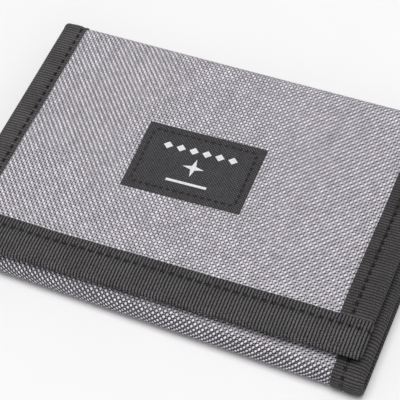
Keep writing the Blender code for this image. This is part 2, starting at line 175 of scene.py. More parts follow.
def strip_runs():
    """The straight and curved runs of the outer face: start, place, heading, radius."""
    flat_back = 2 * HALF_DEPTH - NEAR_RADIUS - FAR_RADIUS
    lengths = (
        (S_NEAR_TOP, 0),
        (NEAR_QUARTER, NEAR_RADIUS),
        (NEAR_RISE, 0),
        (NEAR_QUARTER, NEAR_RADIUS),
        (flat_back, 0),
        (FAR_QUARTER, FAR_RADIUS),
        (FAR_RISE, 0),
        (FAR_QUARTER, FAR_RADIUS),
        (S_END - S_FLAP_FAR, 0),
    )
    runs = []
    start, y, z, heading = 0.0, INNER_EDGE, INNER_TOP, pi
    for length, radius in lengths:
        runs.append((start, y, z, heading, radius))
        if radius:
            turned = heading + length / radius
            y += radius * (sin(turned) - sin(heading))
            z -= radius * (cos(turned) - cos(heading))
            heading = turned
        else:
            y += length * cos(heading)
            z += length * sin(heading)
        start += length
    return runs


RUNS = strip_runs()


def face_at(s):
    """Place and outward direction, (y, z, out_y, out_z), of the outer face at s."""
    y, z, angle = (np.zeros(s.shape) for _ in range(3))
    for start, y0, z0, heading, radius in RUNS:
        here = (s >= start) | (start == 0)
        gone = s[here] - start
        if radius:
            angle[here] = heading + gone / radius
            y[here] = y0 + radius * (np.sin(angle[here]) - sin(heading))
            z[here] = z0 - radius * (np.cos(angle[here]) - cos(heading))
        else:
            angle[here] = heading
            y[here] = y0 + gone * cos(heading)
            z[here] = z0 + gone * sin(heading)
    return y, z, np.sin(angle), -np.cos(angle)


def smooth(value, low, high):
    """0 below low, 1 above high and an even ease between them."""
    t = np.clip((value - low) / (high - low), 0, 1)
    return t * t * (3 - 2 * t)


def settle(points, s):
    """The small unevenness of a sewn wallet that lies closed."""
    x, y = points[..., 0], points[..., 1].copy()
    lower = s < S_FAR_MID
    near = 1 - smooth(y, -41 * MM, -26 * MM)
    points[..., 1] -= np.where(lower, NEAR_SKEW * x * near, 0)
    towards_edge = 1 - smooth(y, FLAP_EDGE, 20 * MM)
    points[..., 1] += np.where(lower, 0, FLAP_SKEW * x * towards_edge)
    ripple = 0.5 + 0.5 * np.sin(x / (15 * MM) + 0.8 + y / (40 * MM))
    sway = 0.5 + 0.5 * np.sin(x / (9.3 * MM) - y / (17 * MM))
    lift = (0.30 * ripple + 0.16 * sway) * MM * (0.25 + 0.75 * towards_edge)
    points[..., 2] += np.where(lower, 0, lift * smooth(s, S_FLAP_FAR, S_FLAP_FAR + 15 * MM))
    return points


def place(x, s, depth):
    """Points of the strip at x, at s along it and depth in from its outer face."""
    x, s, depth = np.broadcast_arrays(x, s, depth)
    y, z, out_y, out_z = face_at(s)
    points = np.stack([x, y - depth * out_y, z - depth * out_z], -1)
    return settle(points, s)


def on_back(y):
    return S_BACK_NEAR + y + HALF_DEPTH - NEAR_RADIUS


def on_flap(y):
    return S_FLAP_FAR + HALF_DEPTH - FAR_RADIUS - y


def on_inner(y):
    return INNER_EDGE - y


def far_share(s):
    """How far along the far fold s is: 0 on the back panel and 1 on the flap."""
    return np.clip((s - S_BACK_FAR) / (S_FLAP_FAR - S_BACK_FAR), 0, 1)


def half_width(s):
    return BODY_HALF + (FLAP_HALF - BODY_HALF) * far_share(s)


def tape_width(side, s):
    flap_width = {"left": FLAP_LEFT_TAPE, "right": FLAP_RIGHT_TAPE}[side]
    return BODY_TAPE + (flap_width - BODY_TAPE) * far_share(s)


REGIONS = {
    "inner": (0, S_NEAR_TOP - NEAR_MARGIN),
    "near_upper": (S_NEAR_TOP - NEAR_MARGIN, S_NEAR_MID),
    "near_lower": (S_NEAR_MID, S_BACK_NEAR + NEAR_MARGIN),
    "back": (S_BACK_NEAR + NEAR_MARGIN, S_BACK_FAR - FAR_MARGIN),
    "far_lower": (S_BACK_FAR - FAR_MARGIN, S_FAR_MID),
    "far_upper": (S_FAR_MID, S_FLAP_FAR + FAR_MARGIN),
    "flap": (S_FLAP_FAR + FAR_MARGIN, S_END),
}
PANEL_BODIES = {"inner": "inner_panel", "back": "back_panel", "flap": "flap"}


def fold_holds():
    """For each half of a fold: its two bodies, and where the bend starts and ends."""
    near_face = HALF_DEPTH - NEAR_BEND_DEPTH
    near_flat = HALF_DEPTH - NEAR_RADIUS
    far_face = HALF_DEPTH - FAR_BEND_DEPTH
    far_flat = HALF_DEPTH - FAR_RADIUS
    slant = NEAR_SKEW * (near_face - near_flat)
    top = INNER_TOP
    return {
        "near_lower": (
            "back_panel",
            "near_spine",
            (0, -near_flat, NEAR_BEND_DEPTH),
            (-slant, -near_face, NEAR_RADIUS),
        ),
        "near_upper": (
            "near_spine",
            "inner_panel",
            (0, -near_face, top - NEAR_RADIUS),
            (slant, -near_flat, top - NEAR_BEND_DEPTH),
        ),
        "far_lower": (
            "back_panel",
            "far_spine",
            (0, far_flat, FAR_BEND_DEPTH),
            (0, far_face, FAR_RADIUS),
        ),
        "far_upper": (
            "far_spine",
            "flap",
            (0, far_face, FLAP_TOP - FAR_RADIUS),
            (0, far_flat, FLAP_TOP - FAR_BEND_DEPTH),
        ),
    }


FOLD_HOLDS = fold_holds()


def hold(piece, region, stands_for=()):
    """Joins a piece to the body of its flat panel, or leaves a fold's piece in place with its
    transform applied, and hides the CAD parts it stands for.
    """
    if region in FOLD_HOLDS:
        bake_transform(piece)
    else:
        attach(piece, PANEL_BODIES.get(region, region))
    if stands_for:
        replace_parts(piece, *stands_for)
    return piece


# ---------------------------------------------------------------- mesh making


def link_mesh(name, mesh, finish):
    mesh.materials.clear()
    mesh.materials.append(MATERIALS[finish])
    mesh.shade_smooth()
    mesh.set_sharp_from_angle(angle=radians(70))
    piece = bpy.data.objects.new(name, mesh)
    bpy.context.scene.collection.objects.link(piece)
    return piece


def enclosed(points, faces):
    """Signed volume of a closed mesh of quads: negative if its faces point inwards."""
    a, b, c, d = (points[faces[:, i]] for i in range(4))
    halves = np.cross(a, b) * c + np.cross(a, c) * d
    return halves.sum() / 6


def quads(*corners):
    return np.stack(corners, -1).reshape(-1, 4)


def slab(name, outer, inner, uv, finish, **marks):
    """A closed sheet from its outer and inner faces, each a grid of points.

    marks are values from 0 to 1 over the grid, kept on the mesh for its material.
    """
    rows, columns = outer.shape[:2]
    points = np.concatenate([outer.reshape(-1, 3), inner.reshape(-1, 3)])
    top = np.arange(rows * columns).reshape(rows, columns)
    low = top + rows * columns
    faces = np.concatenate(
        [
            quads(top[:-1, :-1], top[:-1, 1:], top[1:, 1:], top[1:, :-1]),
            quads(low[:-1, :-1], low[1:, :-1], low[1:, 1:], low[:-1, 1:]),
            quads(top[0, 1:], top[0, :-1], low[0, :-1], low[0, 1:]),
            quads(top[-1, :-1], top[-1, 1:], low[-1, 1:], low[-1, :-1]),
            quads(top[:-1, 0], top[1:, 0], low[1:, 0], low[:-1, 0]),
            quads(top[1:, -1], top[:-1, -1], low[:-1, -1], low[1:, -1]),
        ]
    )
    if enclosed(points, faces) < 0:
        faces = faces[:, ::-1]
    mesh = bpy.data.meshes.new(name)
    mesh.from_pydata(points.tolist(), [], faces.tolist())
    both = np.concatenate([uv.reshape(-1, 2), uv.reshape(-1, 2)]) / MM
    layer = mesh.uv_layers.new(name="Yarn")
    layer.data.foreach_set("uv", both[faces.ravel()].astype(np.float32).ravel())
    for label, values in marks.items():
        values = np.broadcast_to(values, outer.shape[:2]).ravel()
        attribute = mesh.attributes.new(label, "FLOAT", "POINT")
        attribute.data.foreach_set("value", np.tile(values, 2).astype(np.float32))
    return link_mesh(name, mesh, finish)


def steps(low, high, spacing):
    """Evenly spaced values from low to high, no further apart than spacing."""
    count = max(2, int(np.ceil(abs(high - low) / spacing)) + 1)
    return np.linspace(low, high, count)


def rib_steps(low, high):
    """Values at the same places of every rib, with both ends kept."""
    spacing = RIB_PITCH / RIB_STEPS
    inside = np.arange(np.ceil(low / spacing), np.floor(high / spacing) + 1) * spacing
    inside = inside[(inside > low + spacing / 3) & (inside < high - spacing / 3)]
    return np.concatenate([[low], inside, [high]])


def rib_height(along):
    """Rounded ribs with narrow valleys between them, from 0 to 1."""
    return np.abs(np.cos(pi * along / RIB_PITCH)) ** 0.7


def waver(along, seed):
    """A slow uneven drift, from -1 to 1, as of a seam guided by hand."""
    a = np.sin(along / (7.1 * MM) + seed * 1.7)
    b = np.sin(along / (3.3 * MM) + seed * 2.9)
    c = np.sin(along / (17 * MM) + seed)
    return (a + 0.5 * b + 1.2 * c) / 2.7


def yarn_bumps(along, seed):
    """Where a tape's edge rides over the yarns beside it, from -1 to 1."""
    yarns = np.cos(2 * pi * along / (2 * YARN_PITCH[1]) + seed)
    return 0.6 * yarns + 0.6 * rib_height(along)


# ---------------------------------------------------------------- cloth


def cloth_open_depth(s):
    """The cloth's depth away from the tapes; the back panel rests on the table."""
    resting = smooth(s, S_BACK_NEAR + 2 * MM, S_BACK_NEAR + 8 * MM)
    resting = resting * (1 - smooth(s, S_BACK_FAR - 8 * MM, S_BACK_FAR - 2 * MM))
    return CLOTH_OPEN + (CLOTH_RESTING - CLOTH_OPEN) * resting


def cloth_depth(x, s):
    """The cloth dips under the tapes along its edges."""
    left = x + half_width(s) - tape_width("left", s)
    right = half_width(s) - tape_width("right", s) - x
    ends = np.minimum(S_END - (FLAP_EDGE_TIP - FLAP_EDGE) - s, s - (INNER_EDGE - INNER_EDGE_TIP))
    clear = np.minimum(np.minimum(left, right), ends)
    open_depth = cloth_open_depth(s)
    return CLOTH_UNDER_TAPE + (open_depth - CLOTH_UNDER_TAPE) * smooth(clear, 0.1 * MM, 1.6 * MM)


def add_cloth(region, stands_for):
    """The grey outer cloth of one region of the strip."""
    low, high = REGIONS[region]
    low = max(low, CLOTH_MARGIN)
    high = min(high, S_END - CLOTH_MARGIN)
    s = steps(low, high, 0.55 * MM if region in FOLD_HOLDS else 0.9 * MM)[:, None]
    share = np.linspace(-1, 1, 150)[None, :]
    x = share * (half_width(s) - CLOTH_MARGIN)
    s = np.broadcast_to(s, x.shape)
    depth = cloth_depth(x, s)
    outer = place(x, s, depth)
    inner = place(x, s, depth + CLOTH_THICK)
    # Around the near fold the yarns part at the bend; its material paints the gaps there wider and
    # darker, a painted shade, and the cloth paler, a painted highlight.
    opened = 1 - smooth(np.abs(s - S_NEAR_MID), 3 * MM, 7.5 * MM)
    uv = np.stack([x, s], -1)
    piece = slab(f"cloth_{region}", outer, inner, uv, "grey_cloth", opened=opened)
    return hold(piece, region, stands_for)


def add_lining(region, right_edge, stands_for):
    """The lining of one region; right_edge gives its right limit along s."""
    low, high = REGIONS[region]
    high = min(high, S_END - CLOTH_MARGIN)
    s = steps(low, high, 0.6 * MM if region in FOLD_HOLDS else 1.5 * MM)[:, None]
    share = np.linspace(0, 1, 90)[None, :]
    left = CLOTH_MARGIN - half_width(s)
    x = left + (right_edge(s) - left) * share
    s = np.broadcast_to(s, x.shape)
    uv = np.stack([x, s], -1)
    piece = slab(
        f"lining_cloth_{region}", place(x, s, LINING[0]), place(x, s, LINING[1]), uv, "black_lining"
    )
    return hold(piece, region, stands_for)


# ---------------------------------------------------------------- tapes


def tape_slab(name, along, across, faces, finish="black_tape", **marks):
    """Tape from its outer and inner faces, with its yarns' coordinates on it."""
    shape = faces[0].shape[:2]
    uv = np.stack([np.broadcast_to(along, shape), np.broadcast_to(across, shape)], -1)
    return slab(name, *faces, uv, finish, **marks)


def folded_section(edge, tip, depths, thick=TAPE_THICK, leg_steps=LEG_STEPS):
    """Middle line and outward directions of tape folded round an edge, tip to tip."""
    toward = 1 if tip > edge else -1
    reach = (depths[1] - depths[0] - thick) / 2
    middle = (depths[0] + depths[1]) / 2
    bend = edge + toward * (reach + thick / 2)
    leg = np.linspace(tip, bend, leg_steps)
    turn = np.linspace(-pi / 2, pi / 2, WEB_STEPS)[1:-1]
    lateral = np.concatenate([leg, bend - toward * reach * np.cos(turn), leg[::-1]])
    flat = np.full(leg_steps, reach)
    depth = middle + np.concatenate([-flat, reach * np.sin(turn), flat])
    out_lateral = np.concatenate([0 * flat, -toward * np.cos(turn), 0 * flat])
    out_depth = np.concatenate([-flat / reach, np.sin(turn), flat / reach])
    across = np.concatenate([[0], np.cumsum(np.hypot(np.diff(lateral), np.diff(depth)))])
    return lateral, depth, out_lateral, out_depth, across


def seam_steps(low, high):
    """Close steps between the first and the last whole stitch from low to high."""
    first = np.ceil(low / STITCH_PITCH) * STITCH_PITCH
    last = np.floor(high / STITCH_PITCH) * STITCH_PITCH
    return steps(first, last, 0.45 * MM)


def seam_press(along, across, seam):
    """How hard a tape is pulled in by its seam, most of all at each stitch; the tape's material
    darkens by it, a painted shade in the seam's groove.
    """
    edge = np.minimum(across, across.max() - across)
    line = np.exp(-(((edge - seam) / (0.55 * MM)) ** 2))
    return line * (0.6 + 0.4 * np.cos(2 * pi * along / STITCH_PITCH))


def tape_relief(along, across, seam, ribs):
    """Height of a tape's face: ribs across it, a seam pulled in and rounded edges."""
    edge = np.minimum(across, across.max() - across)
    pressed = seam_press(along, across, seam)
    uneven = 0.8 + 0.2 * waver(along * 3.1, 4) + 0.1 * waver(across * 2.3 + along, 6)
    height = ribs * uneven * RIB_RISE * (rib_height(along) - 0.5) * smooth(edge, 0, 0.3 * MM)
    height = height * (1 - 0.6 * pressed)
    height = height - 0.3 * MM * pressed
    height = height + 0.12 * MM * np.sin(pi * np.clip((edge - seam) / (5 * MM), 0, 1))
    return height - 0.14 * MM * (1 - smooth(edge, 0, 0.6 * MM))


def tape_along_strip(name, side, region, depths, seed, limits):
    """Tape folded round the strip's left or right edge, over one region."""
    s = rib_steps(*limits)[:, None]
    sign = {"left": -1, "right": 1}[side]
    edge_line = sign * half_width(s)
    wander = 0.16 * MM * waver(s, seed) + 0.12 * MM * yarn_bumps(s, seed)
    tip_line = edge_line - sign * (tape_width(side, s) + wander)
    width = np.abs(tip_line - edge_line)
    lateral, depth, out_x, out_d, across = folded_section(
        sign * BODY_HALF, sign * (BODY_HALF - BODY_TAPE), depths
    )
    share = (sign * BODY_HALF - lateral) * sign / BODY_TAPE
    x = edge_line - sign * share[None, :] * width
    tucked = 0
    if region == "flap":
        tucked = smooth(s, on_flap(FLAP_EDGE_TIP) - 1.2 * MM, on_flap(FLAP_EDGE_TIP) + 0.6 * MM)
        x = x - sign * 0.45 * MM * tucked * (1 - share[None, :])
    ribs = 0.9 if side == "left" else 0.4 + 0.35 * smooth(across, 2.6 * MM, 3.8 * MM)
    relief = tape_relief(s, across[None, :], SEAM_INSETS[side], ribs)
    outer_d = depth[None, :] + out_d * (TAPE_THICK / 2 + relief)
    inner_d = depth[None, :] - out_d * (TAPE_THICK / 2)
    middle = (depths[0] + depths[1]) / 2
    squeeze = 1 - 0.42 * tucked
    outer_d = middle + (outer_d - middle) * squeeze
    inner_d = middle + (inner_d - middle) * squeeze
    outer_x = x + out_x * (TAPE_THICK / 2 + relief)
    inner_x = x - out_x * (TAPE_THICK / 2)
    pressed = seam_press(s, across[None, :], SEAM_INSETS[side])
    # The left side's tape is painted paler: a painted sheen for the light its ribs catch.
    faded = {"left": 1.0, "right": 0.0}[side]
    faces = place(outer_x, s, outer_d), place(inner_x, s, inner_d)
    return tape_slab(name, s, across, faces, "black_side_tape", pressed=pressed, faded=faded)


def tape_along_x(
    name,
    reach,
    edge,
    tip,
    depths,
    station,
    seam,
    seed,
    ends_round=1.3 * MM,
    shoulder=0.0,
    leg_steps=LEG_STEPS,
):
    """Tape folded round an edge that runs along X; station turns y into s.

    shoulder is how far the outer face slopes in as it nears the edge.
    """
    x = rib_steps(*reach)[:, None]
    lateral, depth, out_y, out_d, across = folded_section(edge, tip, depths, leg_steps=leg_steps)
    toward = 1 if tip > edge else -1
    share = (lateral - edge) * toward / abs(tip - edge)
    wander = 0.16 * MM * waver(x, seed) + 0.12 * MM * yarn_bumps(x, seed)
    corner = ends_round - np.minimum(np.minimum(x - reach[0], reach[1] - x), ends_round)
    drawn_in = ends_round - np.sqrt(np.maximum(ends_round**2 - corner**2, 0))
    y = lateral + toward * share * wander + toward * (1 - share) ** 4 * drawn_in
    relief = tape_relief(x, across[None, :], seam, 1.0)
    middle = (depths[0] + depths[1]) / 2
    squeeze = np.sqrt(np.maximum(1 - (corner / ends_round) ** 2, 0.02))
    slope = shoulder * (1 - smooth(share, 0, 0.55)) * (across < across.max() / 2)
    outer_d = middle + (depth + out_d * (TAPE_THICK / 2 + relief) - middle) * squeeze + slope
    inner_d = middle + (depth - out_d * (TAPE_THICK / 2) - middle) * squeeze + slope
    outer_y = y + out_y * (TAPE_THICK / 2 + relief)
    inner_y = y - out_y * (TAPE_THICK / 2)
    faces = place(x, station(outer_y), outer_d), place(x, station(inner_y), inner_d)
    pressed = seam_press(x, across[None, :], seam)
    # Paler from just past the seam to the folded edge and round it.
    faded = 0.3 * smooth(across, seam, seam + 2 * MM)[None, :]
    return tape_slab(name, x, across, faces, pressed=pressed, faded=faded)


# ---------------------------------------------------------------- node helpers


def new_input(tree, name, kind, default=None):
    socket = tree.interface.new_socket(name=name, in_out="INPUT", socket_type=kind)
    if default is not None:
        socket.default_value = default
    return socket.identifier


def new_output(tree, name, kind):
    tree.interface.new_socket(name=name, in_out="OUTPUT", socket_type=kind)


def feed(tree, socket, value):
    """Links a socket to another one, or sets it to a plain value."""
    if isinstance(value, bpy.types.NodeSocket):
        tree.links.new(value, socket)
    elif value is not None:
        socket.default_value = value


def feed_named(tree, node, values):
    """Feeds a node's inputs by name; underscores in the names stand for spaces."""
    for name, value in values.items():
        feed(tree, node.inputs[name.replace("_", " ")], value)
    return node


def node_with(tree, kind, **values):
    return feed_named(tree, tree.nodes.new(kind), values)


def calc(tree, operation, *values):
    """A Math node's result from sockets or numbers."""
    node = tree.nodes.new("ShaderNodeMath")
    node.operation = operation
    for socket, value in zip(node.inputs, values):
        feed(tree, socket, value)
    return node.outputs[0]


def ramp(tree, value, low, high, out_low=0.0, out_high=1.0):
    """A smooth change of value from one range to another."""
    span = {"From_Min": low, "From_Max": high, "To_Min": out_low, "To_Max": out_high}
    node = node_with(tree, "ShaderNodeMapRange", Value=value, **span)
    node.interpolation_type = "SMOOTHSTEP"
    return node.outputs["Result"]


def mix_colour(tree, factor, first, second, blend_type="MIX"):
    node = tree.nodes.new("ShaderNodeMix")
    node.data_type = "RGBA"
    node.blend_type = blend_type
    feed(tree, node.inputs["Factor"], factor)
    feed(tree, node.inputs[6], first)
    feed(tree, node.inputs[7], second)
    return node.outputs[2]


def noise(tree, vector, scale, detail=2.0, roughness=0.5):
    values = {"Vector": vector, "Scale": scale, "Detail": detail, "Roughness": roughness}
    return node_with(tree, "ShaderNodeTexNoise", **values).outputs["Fac"]


def combine(tree, x, y, z=0.0):
    node = tree.nodes.new("ShaderNodeCombineXYZ")
    for socket, value in zip(node.inputs, (x, y, z)):
        feed(tree, socket, value)
    return node.outputs[0]


def separate(tree, vector):
    node = tree.nodes.new("ShaderNodeSeparateXYZ")
    feed(tree, node.inputs[0], vector)
    return node.outputs[0], node.outputs[1], node.outputs[2]


def white_noise(tree, vector):
    node = tree.nodes.new("ShaderNodeTexWhiteNoise")
    node.noise_dimensions = "2D"
    feed(tree, node.inputs["Vector"], vector)
    return node.outputs["Value"]


def group_tree(name, inputs, outputs):
    """An empty shader group with named inputs and outputs."""
    tree = bpy.data.node_groups.new(name, "ShaderNodeTree")
    for label, kind, default in inputs:
        new_input(tree, label, kind, default)
    for label, kind in outputs:
        new_output(tree, label, kind)
    source = tree.nodes.new("NodeGroupInput")
    result = tree.nodes.new("NodeGroupOutput")
    return tree, source, result


def placed_group(tree, group, **values):
    """A group put in a material, with its inputs fed."""
    node = tree.nodes.new("ShaderNodeGroup")
    node.node_tree = group
    return feed_named(tree, node, values)


def tinted(tree, tint, value, low, high, out_low, out_high):
    """A tint times a factor that follows value from one range to another."""
    return calc(tree, "MULTIPLY", tint, ramp(tree, value, low, high, out_low, out_high))


def shaded(tree, colour, tint):
    """A colour made darker or paler by a tint."""
    return mix_colour(tree, 1.0, colour, combine(tree, tint, tint, tint), "MULTIPLY")


def by_yarn(tree, over, warp, weft):
    """The warp's value where the warp is over the weft, and the weft's elsewhere."""
    under = calc(tree, "SUBTRACT", 1.0, over)
    return calc(
        tree, "ADD", calc(tree, "MULTIPLY", warp, over), calc(tree, "MULTIPLY", weft, under)
    )


# ---------------------------------------------------------------- shader groups


def make_weave_group():
    """Plain weave: crossing yarns that pass over and under each other in turn."""
    tree, source, result = group_tree(
        "Plain weave",
        (
            ("Coordinates", "NodeSocketVector", None),
            ("Pitch Across", "NodeSocketFloat", 1.0),
            ("Pitch Along", "NodeSocketFloat", 1.0),
            ("Warp Crimp", "NodeSocketFloat", 0.75),
            ("Weft Crimp", "NodeSocketFloat", 0.35),
            ("Weft Drop", "NodeSocketFloat", 0.35),
            ("Slant", "NodeSocketFloat", 0.0),
            ("Unevenness", "NodeSocketFloat", 0.1),
        ),
        (
            ("Height", "NodeSocketFloat"),
            ("Yarn", "NodeSocketFloat"),
            ("Tone", "NodeSocketFloat"),
            ("Crossing", "NodeSocketFloat"),
        ),
    )
    coordinates = source.outputs["Coordinates"]
    drift = noise(tree, coordinates, 0.35, 2.0)
    x, y, _ = separate(tree, coordinates)
    bend = calc(tree, "MULTIPLY", calc(tree, "SUBTRACT", drift, 0.5), source.outputs["Unevenness"])
    u = calc(tree, "ADD", calc(tree, "DIVIDE", x, source.outputs["Pitch Across"]), bend)
    v = calc(tree, "SUBTRACT", calc(tree, "DIVIDE", y, source.outputs["Pitch Along"]), bend)
    column = calc(tree, "FLOOR", u)
    row = calc(tree, "FLOOR", v)
    side_u = calc(tree, "SUBTRACT", calc(tree, "SUBTRACT", u, column), 0.5)
    side_v = calc(tree, "SUBTRACT", calc(tree, "SUBTRACT", v, row), 0.5)

    def yarn_height(lengthwise, index, sideways, start, crimp):
        """A round yarn that rises and dips along its length, its crowns slanted."""
        slanted = calc(tree, "MULTIPLY_ADD", sideways, source.outputs["Slant"], lengthwise)
        phase = calc(tree, "MULTIPLY", calc(tree, "SUBTRACT", slanted, index), pi)
        wave = calc(tree, "SINE", calc(tree, "ADD", phase, start))
        round_side = calc(tree, "COSINE", calc(tree, "MULTIPLY", sideways, 2.75))
        return calc(tree, "MULTIPLY_ADD", wave, crimp, round_side)

    warp = yarn_height(v, column, side_u, 0.0, source.outputs["Warp Crimp"])
    weft = yarn_height(u, row, side_v, pi, source.outputs["Weft Crimp"])
    weft = calc(tree, "SUBTRACT", weft, source.outputs["Weft Drop"])
    top = calc(tree, "MAXIMUM", warp, weft)
    over = calc(tree, "GREATER_THAN", warp, weft)
    fibres_u = calc(tree, "MULTIPLY_ADD", u, 26.0, calc(tree, "MULTIPLY", v, 5.0))
    fibres_v = calc(tree, "MULTIPLY_ADD", v, 26.0, calc(tree, "MULTIPLY", u, 5.0))
    strands = by_yarn(tree, over, calc(tree, "SINE", fibres_u), calc(tree, "SINE", fibres_v))
    height = calc(tree, "MULTIPLY_ADD", strands, 0.035, top)
    tone_u = white_noise(tree, combine(tree, column, 7.0))
    tone_v = white_noise(tree, combine(tree, 3.0, row))
    tone = by_yarn(tree, over, tone_u, tone_v)
    feed(tree, result.inputs["Height"], height)
    feed(tree, result.inputs["Yarn"], top)
    feed(tree, result.inputs["Tone"], tone)
    feed(tree, result.inputs["Crossing"], white_noise(tree, combine(tree, column, row)))
    return tree


def make_fuzz_group():
    """Fine fibres and dust over a dark textile: a little relief and a few pale specks."""
    tree, source, result = group_tree(
        "Fibre fuzz",
        (("Coordinates", "NodeSocketVector", None), ("Scale", "NodeSocketFloat", 4.0)),
        (("Height", "NodeSocketFloat"), ("Specks", "NodeSocketFloat"), ("Patches", "NodeSocketFloat")),
    )
    coordinates = source.outputs["Coordinates"]
    fine = noise(tree, coordinates, source.outputs["Scale"], 4.0, 0.65)
    patches = noise(tree, coordinates, 0.12, 3.0, 0.6)
    feed(tree, result.inputs["Height"], fine)
    feed(tree, result.inputs["Specks"], ramp(tree, fine, 0.62, 0.8))
    feed(tree, result.inputs["Patches"], patches)
    return tree


def make_rib_group():
    """Grosgrain: thick ribs across the tape, wrapped in fine threads along it."""
    tree, source, result = group_tree(
        "Grosgrain",
        (
            ("Coordinates", "NodeSocketVector", None),
            ("Rib Pitch", "NodeSocketFloat", 0.92),
            ("Thread Pitch", "NodeSocketFloat", 0.22),
        ),
        (("Crown", "NodeSocketFloat"), ("Threads", "NodeSocketFloat")),
    )
    along, across, _ = separate(tree, source.outputs["Coordinates"])
    phase = calc(tree, "DIVIDE", along, source.outputs["Rib Pitch"])
    crown_highlight = calc(tree, "ABSOLUTE", calc(tree, "COSINE", calc(tree, "MULTIPLY", phase, pi)))
    lines = calc(tree, "DIVIDE", across, source.outputs["Thread Pitch"])
    shift = calc(tree, "FLOOR", calc(tree, "ADD", phase, 0.5))
    lines = calc(tree, "MULTIPLY_ADD", shift, 0.5, lines)
    threads = calc(tree, "ABSOLUTE", calc(tree, "SINE", calc(tree, "MULTIPLY", lines, pi)))
    feed(tree, result.inputs["Crown"], crown_highlight)
    feed(tree, result.inputs["Threads"], threads)
    return tree


# ---------------------------------------------------------------- materials


def new_material(name, roughness, **plain):
    """A material, its node tree and its Principled shader with plain values set."""
    material = bpy.data.materials.new(name)
    material.use_nodes = True
    tree = material.node_tree
    shader = tree.nodes["Principled BSDF"]
    shader.inputs["Roughness"].default_value = roughness
    for socket, value in plain.items():
        shader.inputs[socket.replace("_", " ")].default_value = value
    return material, tree, shader


def yarn_coordinates(tree):
    node = tree.nodes.new("ShaderNodeUVMap")
    node.uv_map = "Yarn"
    return node.outputs["UV"]


def mark(tree, label):
    """A value that slab kept on the mesh."""
    node = tree.nodes.new("ShaderNodeAttribute")
    node.attribute_name = label
    return node.outputs["Fac"]


def object_coordinates(tree, scale):
    """Object coordinates, with scale repeats to the metre."""
    node = tree.nodes.new("ShaderNodeTexCoord")
    mapping = tree.nodes.new("ShaderNodeMapping")
    mapping.inputs["Scale"].default_value = (scale, scale, scale)
    tree.links.new(node.outputs["Object"], mapping.inputs["Vector"])
    return mapping.outputs["Vector"]


def add_bump(tree, shader, height, distance):
    bump = node_with(tree, "ShaderNodeBump", Strength=1.0, Distance=distance, Height=height)
    tree.links.new(bump.outputs["Normal"], shader.inputs["Normal"])


def woven_material(name, pitches, colours, relief, roughness, slant=0.0, **plain):
    """Plain-woven cloth; colours are for the gaps between the yarns, a painted shade, for the yarns,
    and for their crowns, a painted highlight.

    slant is how far the crowns lean at the left edge; they lean back at the right one.
    """
    gap_shade, yarn, crown_highlight = colours
    material, tree, shader = new_material(name, roughness, **plain)
    coordinates = yarn_coordinates(tree)
    across, _, _ = separate(tree, coordinates)
    lean = ramp(tree, across, -45.0, 45.0, -slant, slant)
    weave = placed_group(
        tree,
        GROUPS["weave"],
        Coordinates=coordinates,
        Pitch_Across=pitches[0] / MM,
        Pitch_Along=pitches[1] / MM,
        Slant=lean,
        Unevenness=0.3,
    )
    fuzz = placed_group(tree, GROUPS["fuzz"], Coordinates=coordinates, Scale=3.0)
    # Around the near fold: the gaps are painted wider and darker, partly the yarns parting at the bend
    # and partly a painted shade, and the cloth is painted paler, a painted highlight.
    opened = mark(tree, "opened")
    gap_spread_and_shade = calc(tree, "MULTIPLY", opened, 0.27)
    raised = calc(tree, "SUBTRACT", weave.outputs["Yarn"], gap_spread_and_shade)
    # Low between the yarns the colour is a painted shade, and high on their crowns a painted
    # highlight.
    colour = mix_colour(tree, ramp(tree, raised, 0.5, 0.96), gap_shade, yarn)
    colour = mix_colour(tree, ramp(tree, raised, 0.85, 1.4), colour, crown_highlight)
    tint = ramp(tree, weave.outputs["Tone"], 0.0, 1.0, 0.96, 1.04)
    tint = tinted(tree, tint, opened, 0.0, 1.0, 1.0, 1.1)
    tint = tinted(tree, tint, weave.outputs["Crossing"], 0.0, 1.0, 0.84, 1.14)
    tint = tinted(tree, tint, fuzz.outputs["Height"], 0.25, 0.75, 0.86, 1.14)
    tint = tinted(tree, tint, fuzz.outputs["Patches"], 0.3, 0.7, 0.95, 1.05)
    # A painted shade in a sewn seam's groove, darkest at each stitch.
    tint = tinted(tree, tint, mark(tree, "pressed"), 0.1, 0.8, 1.0, 0.3)
    colour = shaded(tree, colour, tint)
    tree.links.new(colour, shader.inputs["Base Color"])
    height = calc(tree, "MULTIPLY_ADD", fuzz.outputs["Height"], 0.12, weave.outputs["Height"])
    add_bump(tree, shader, height, relief)
    return material


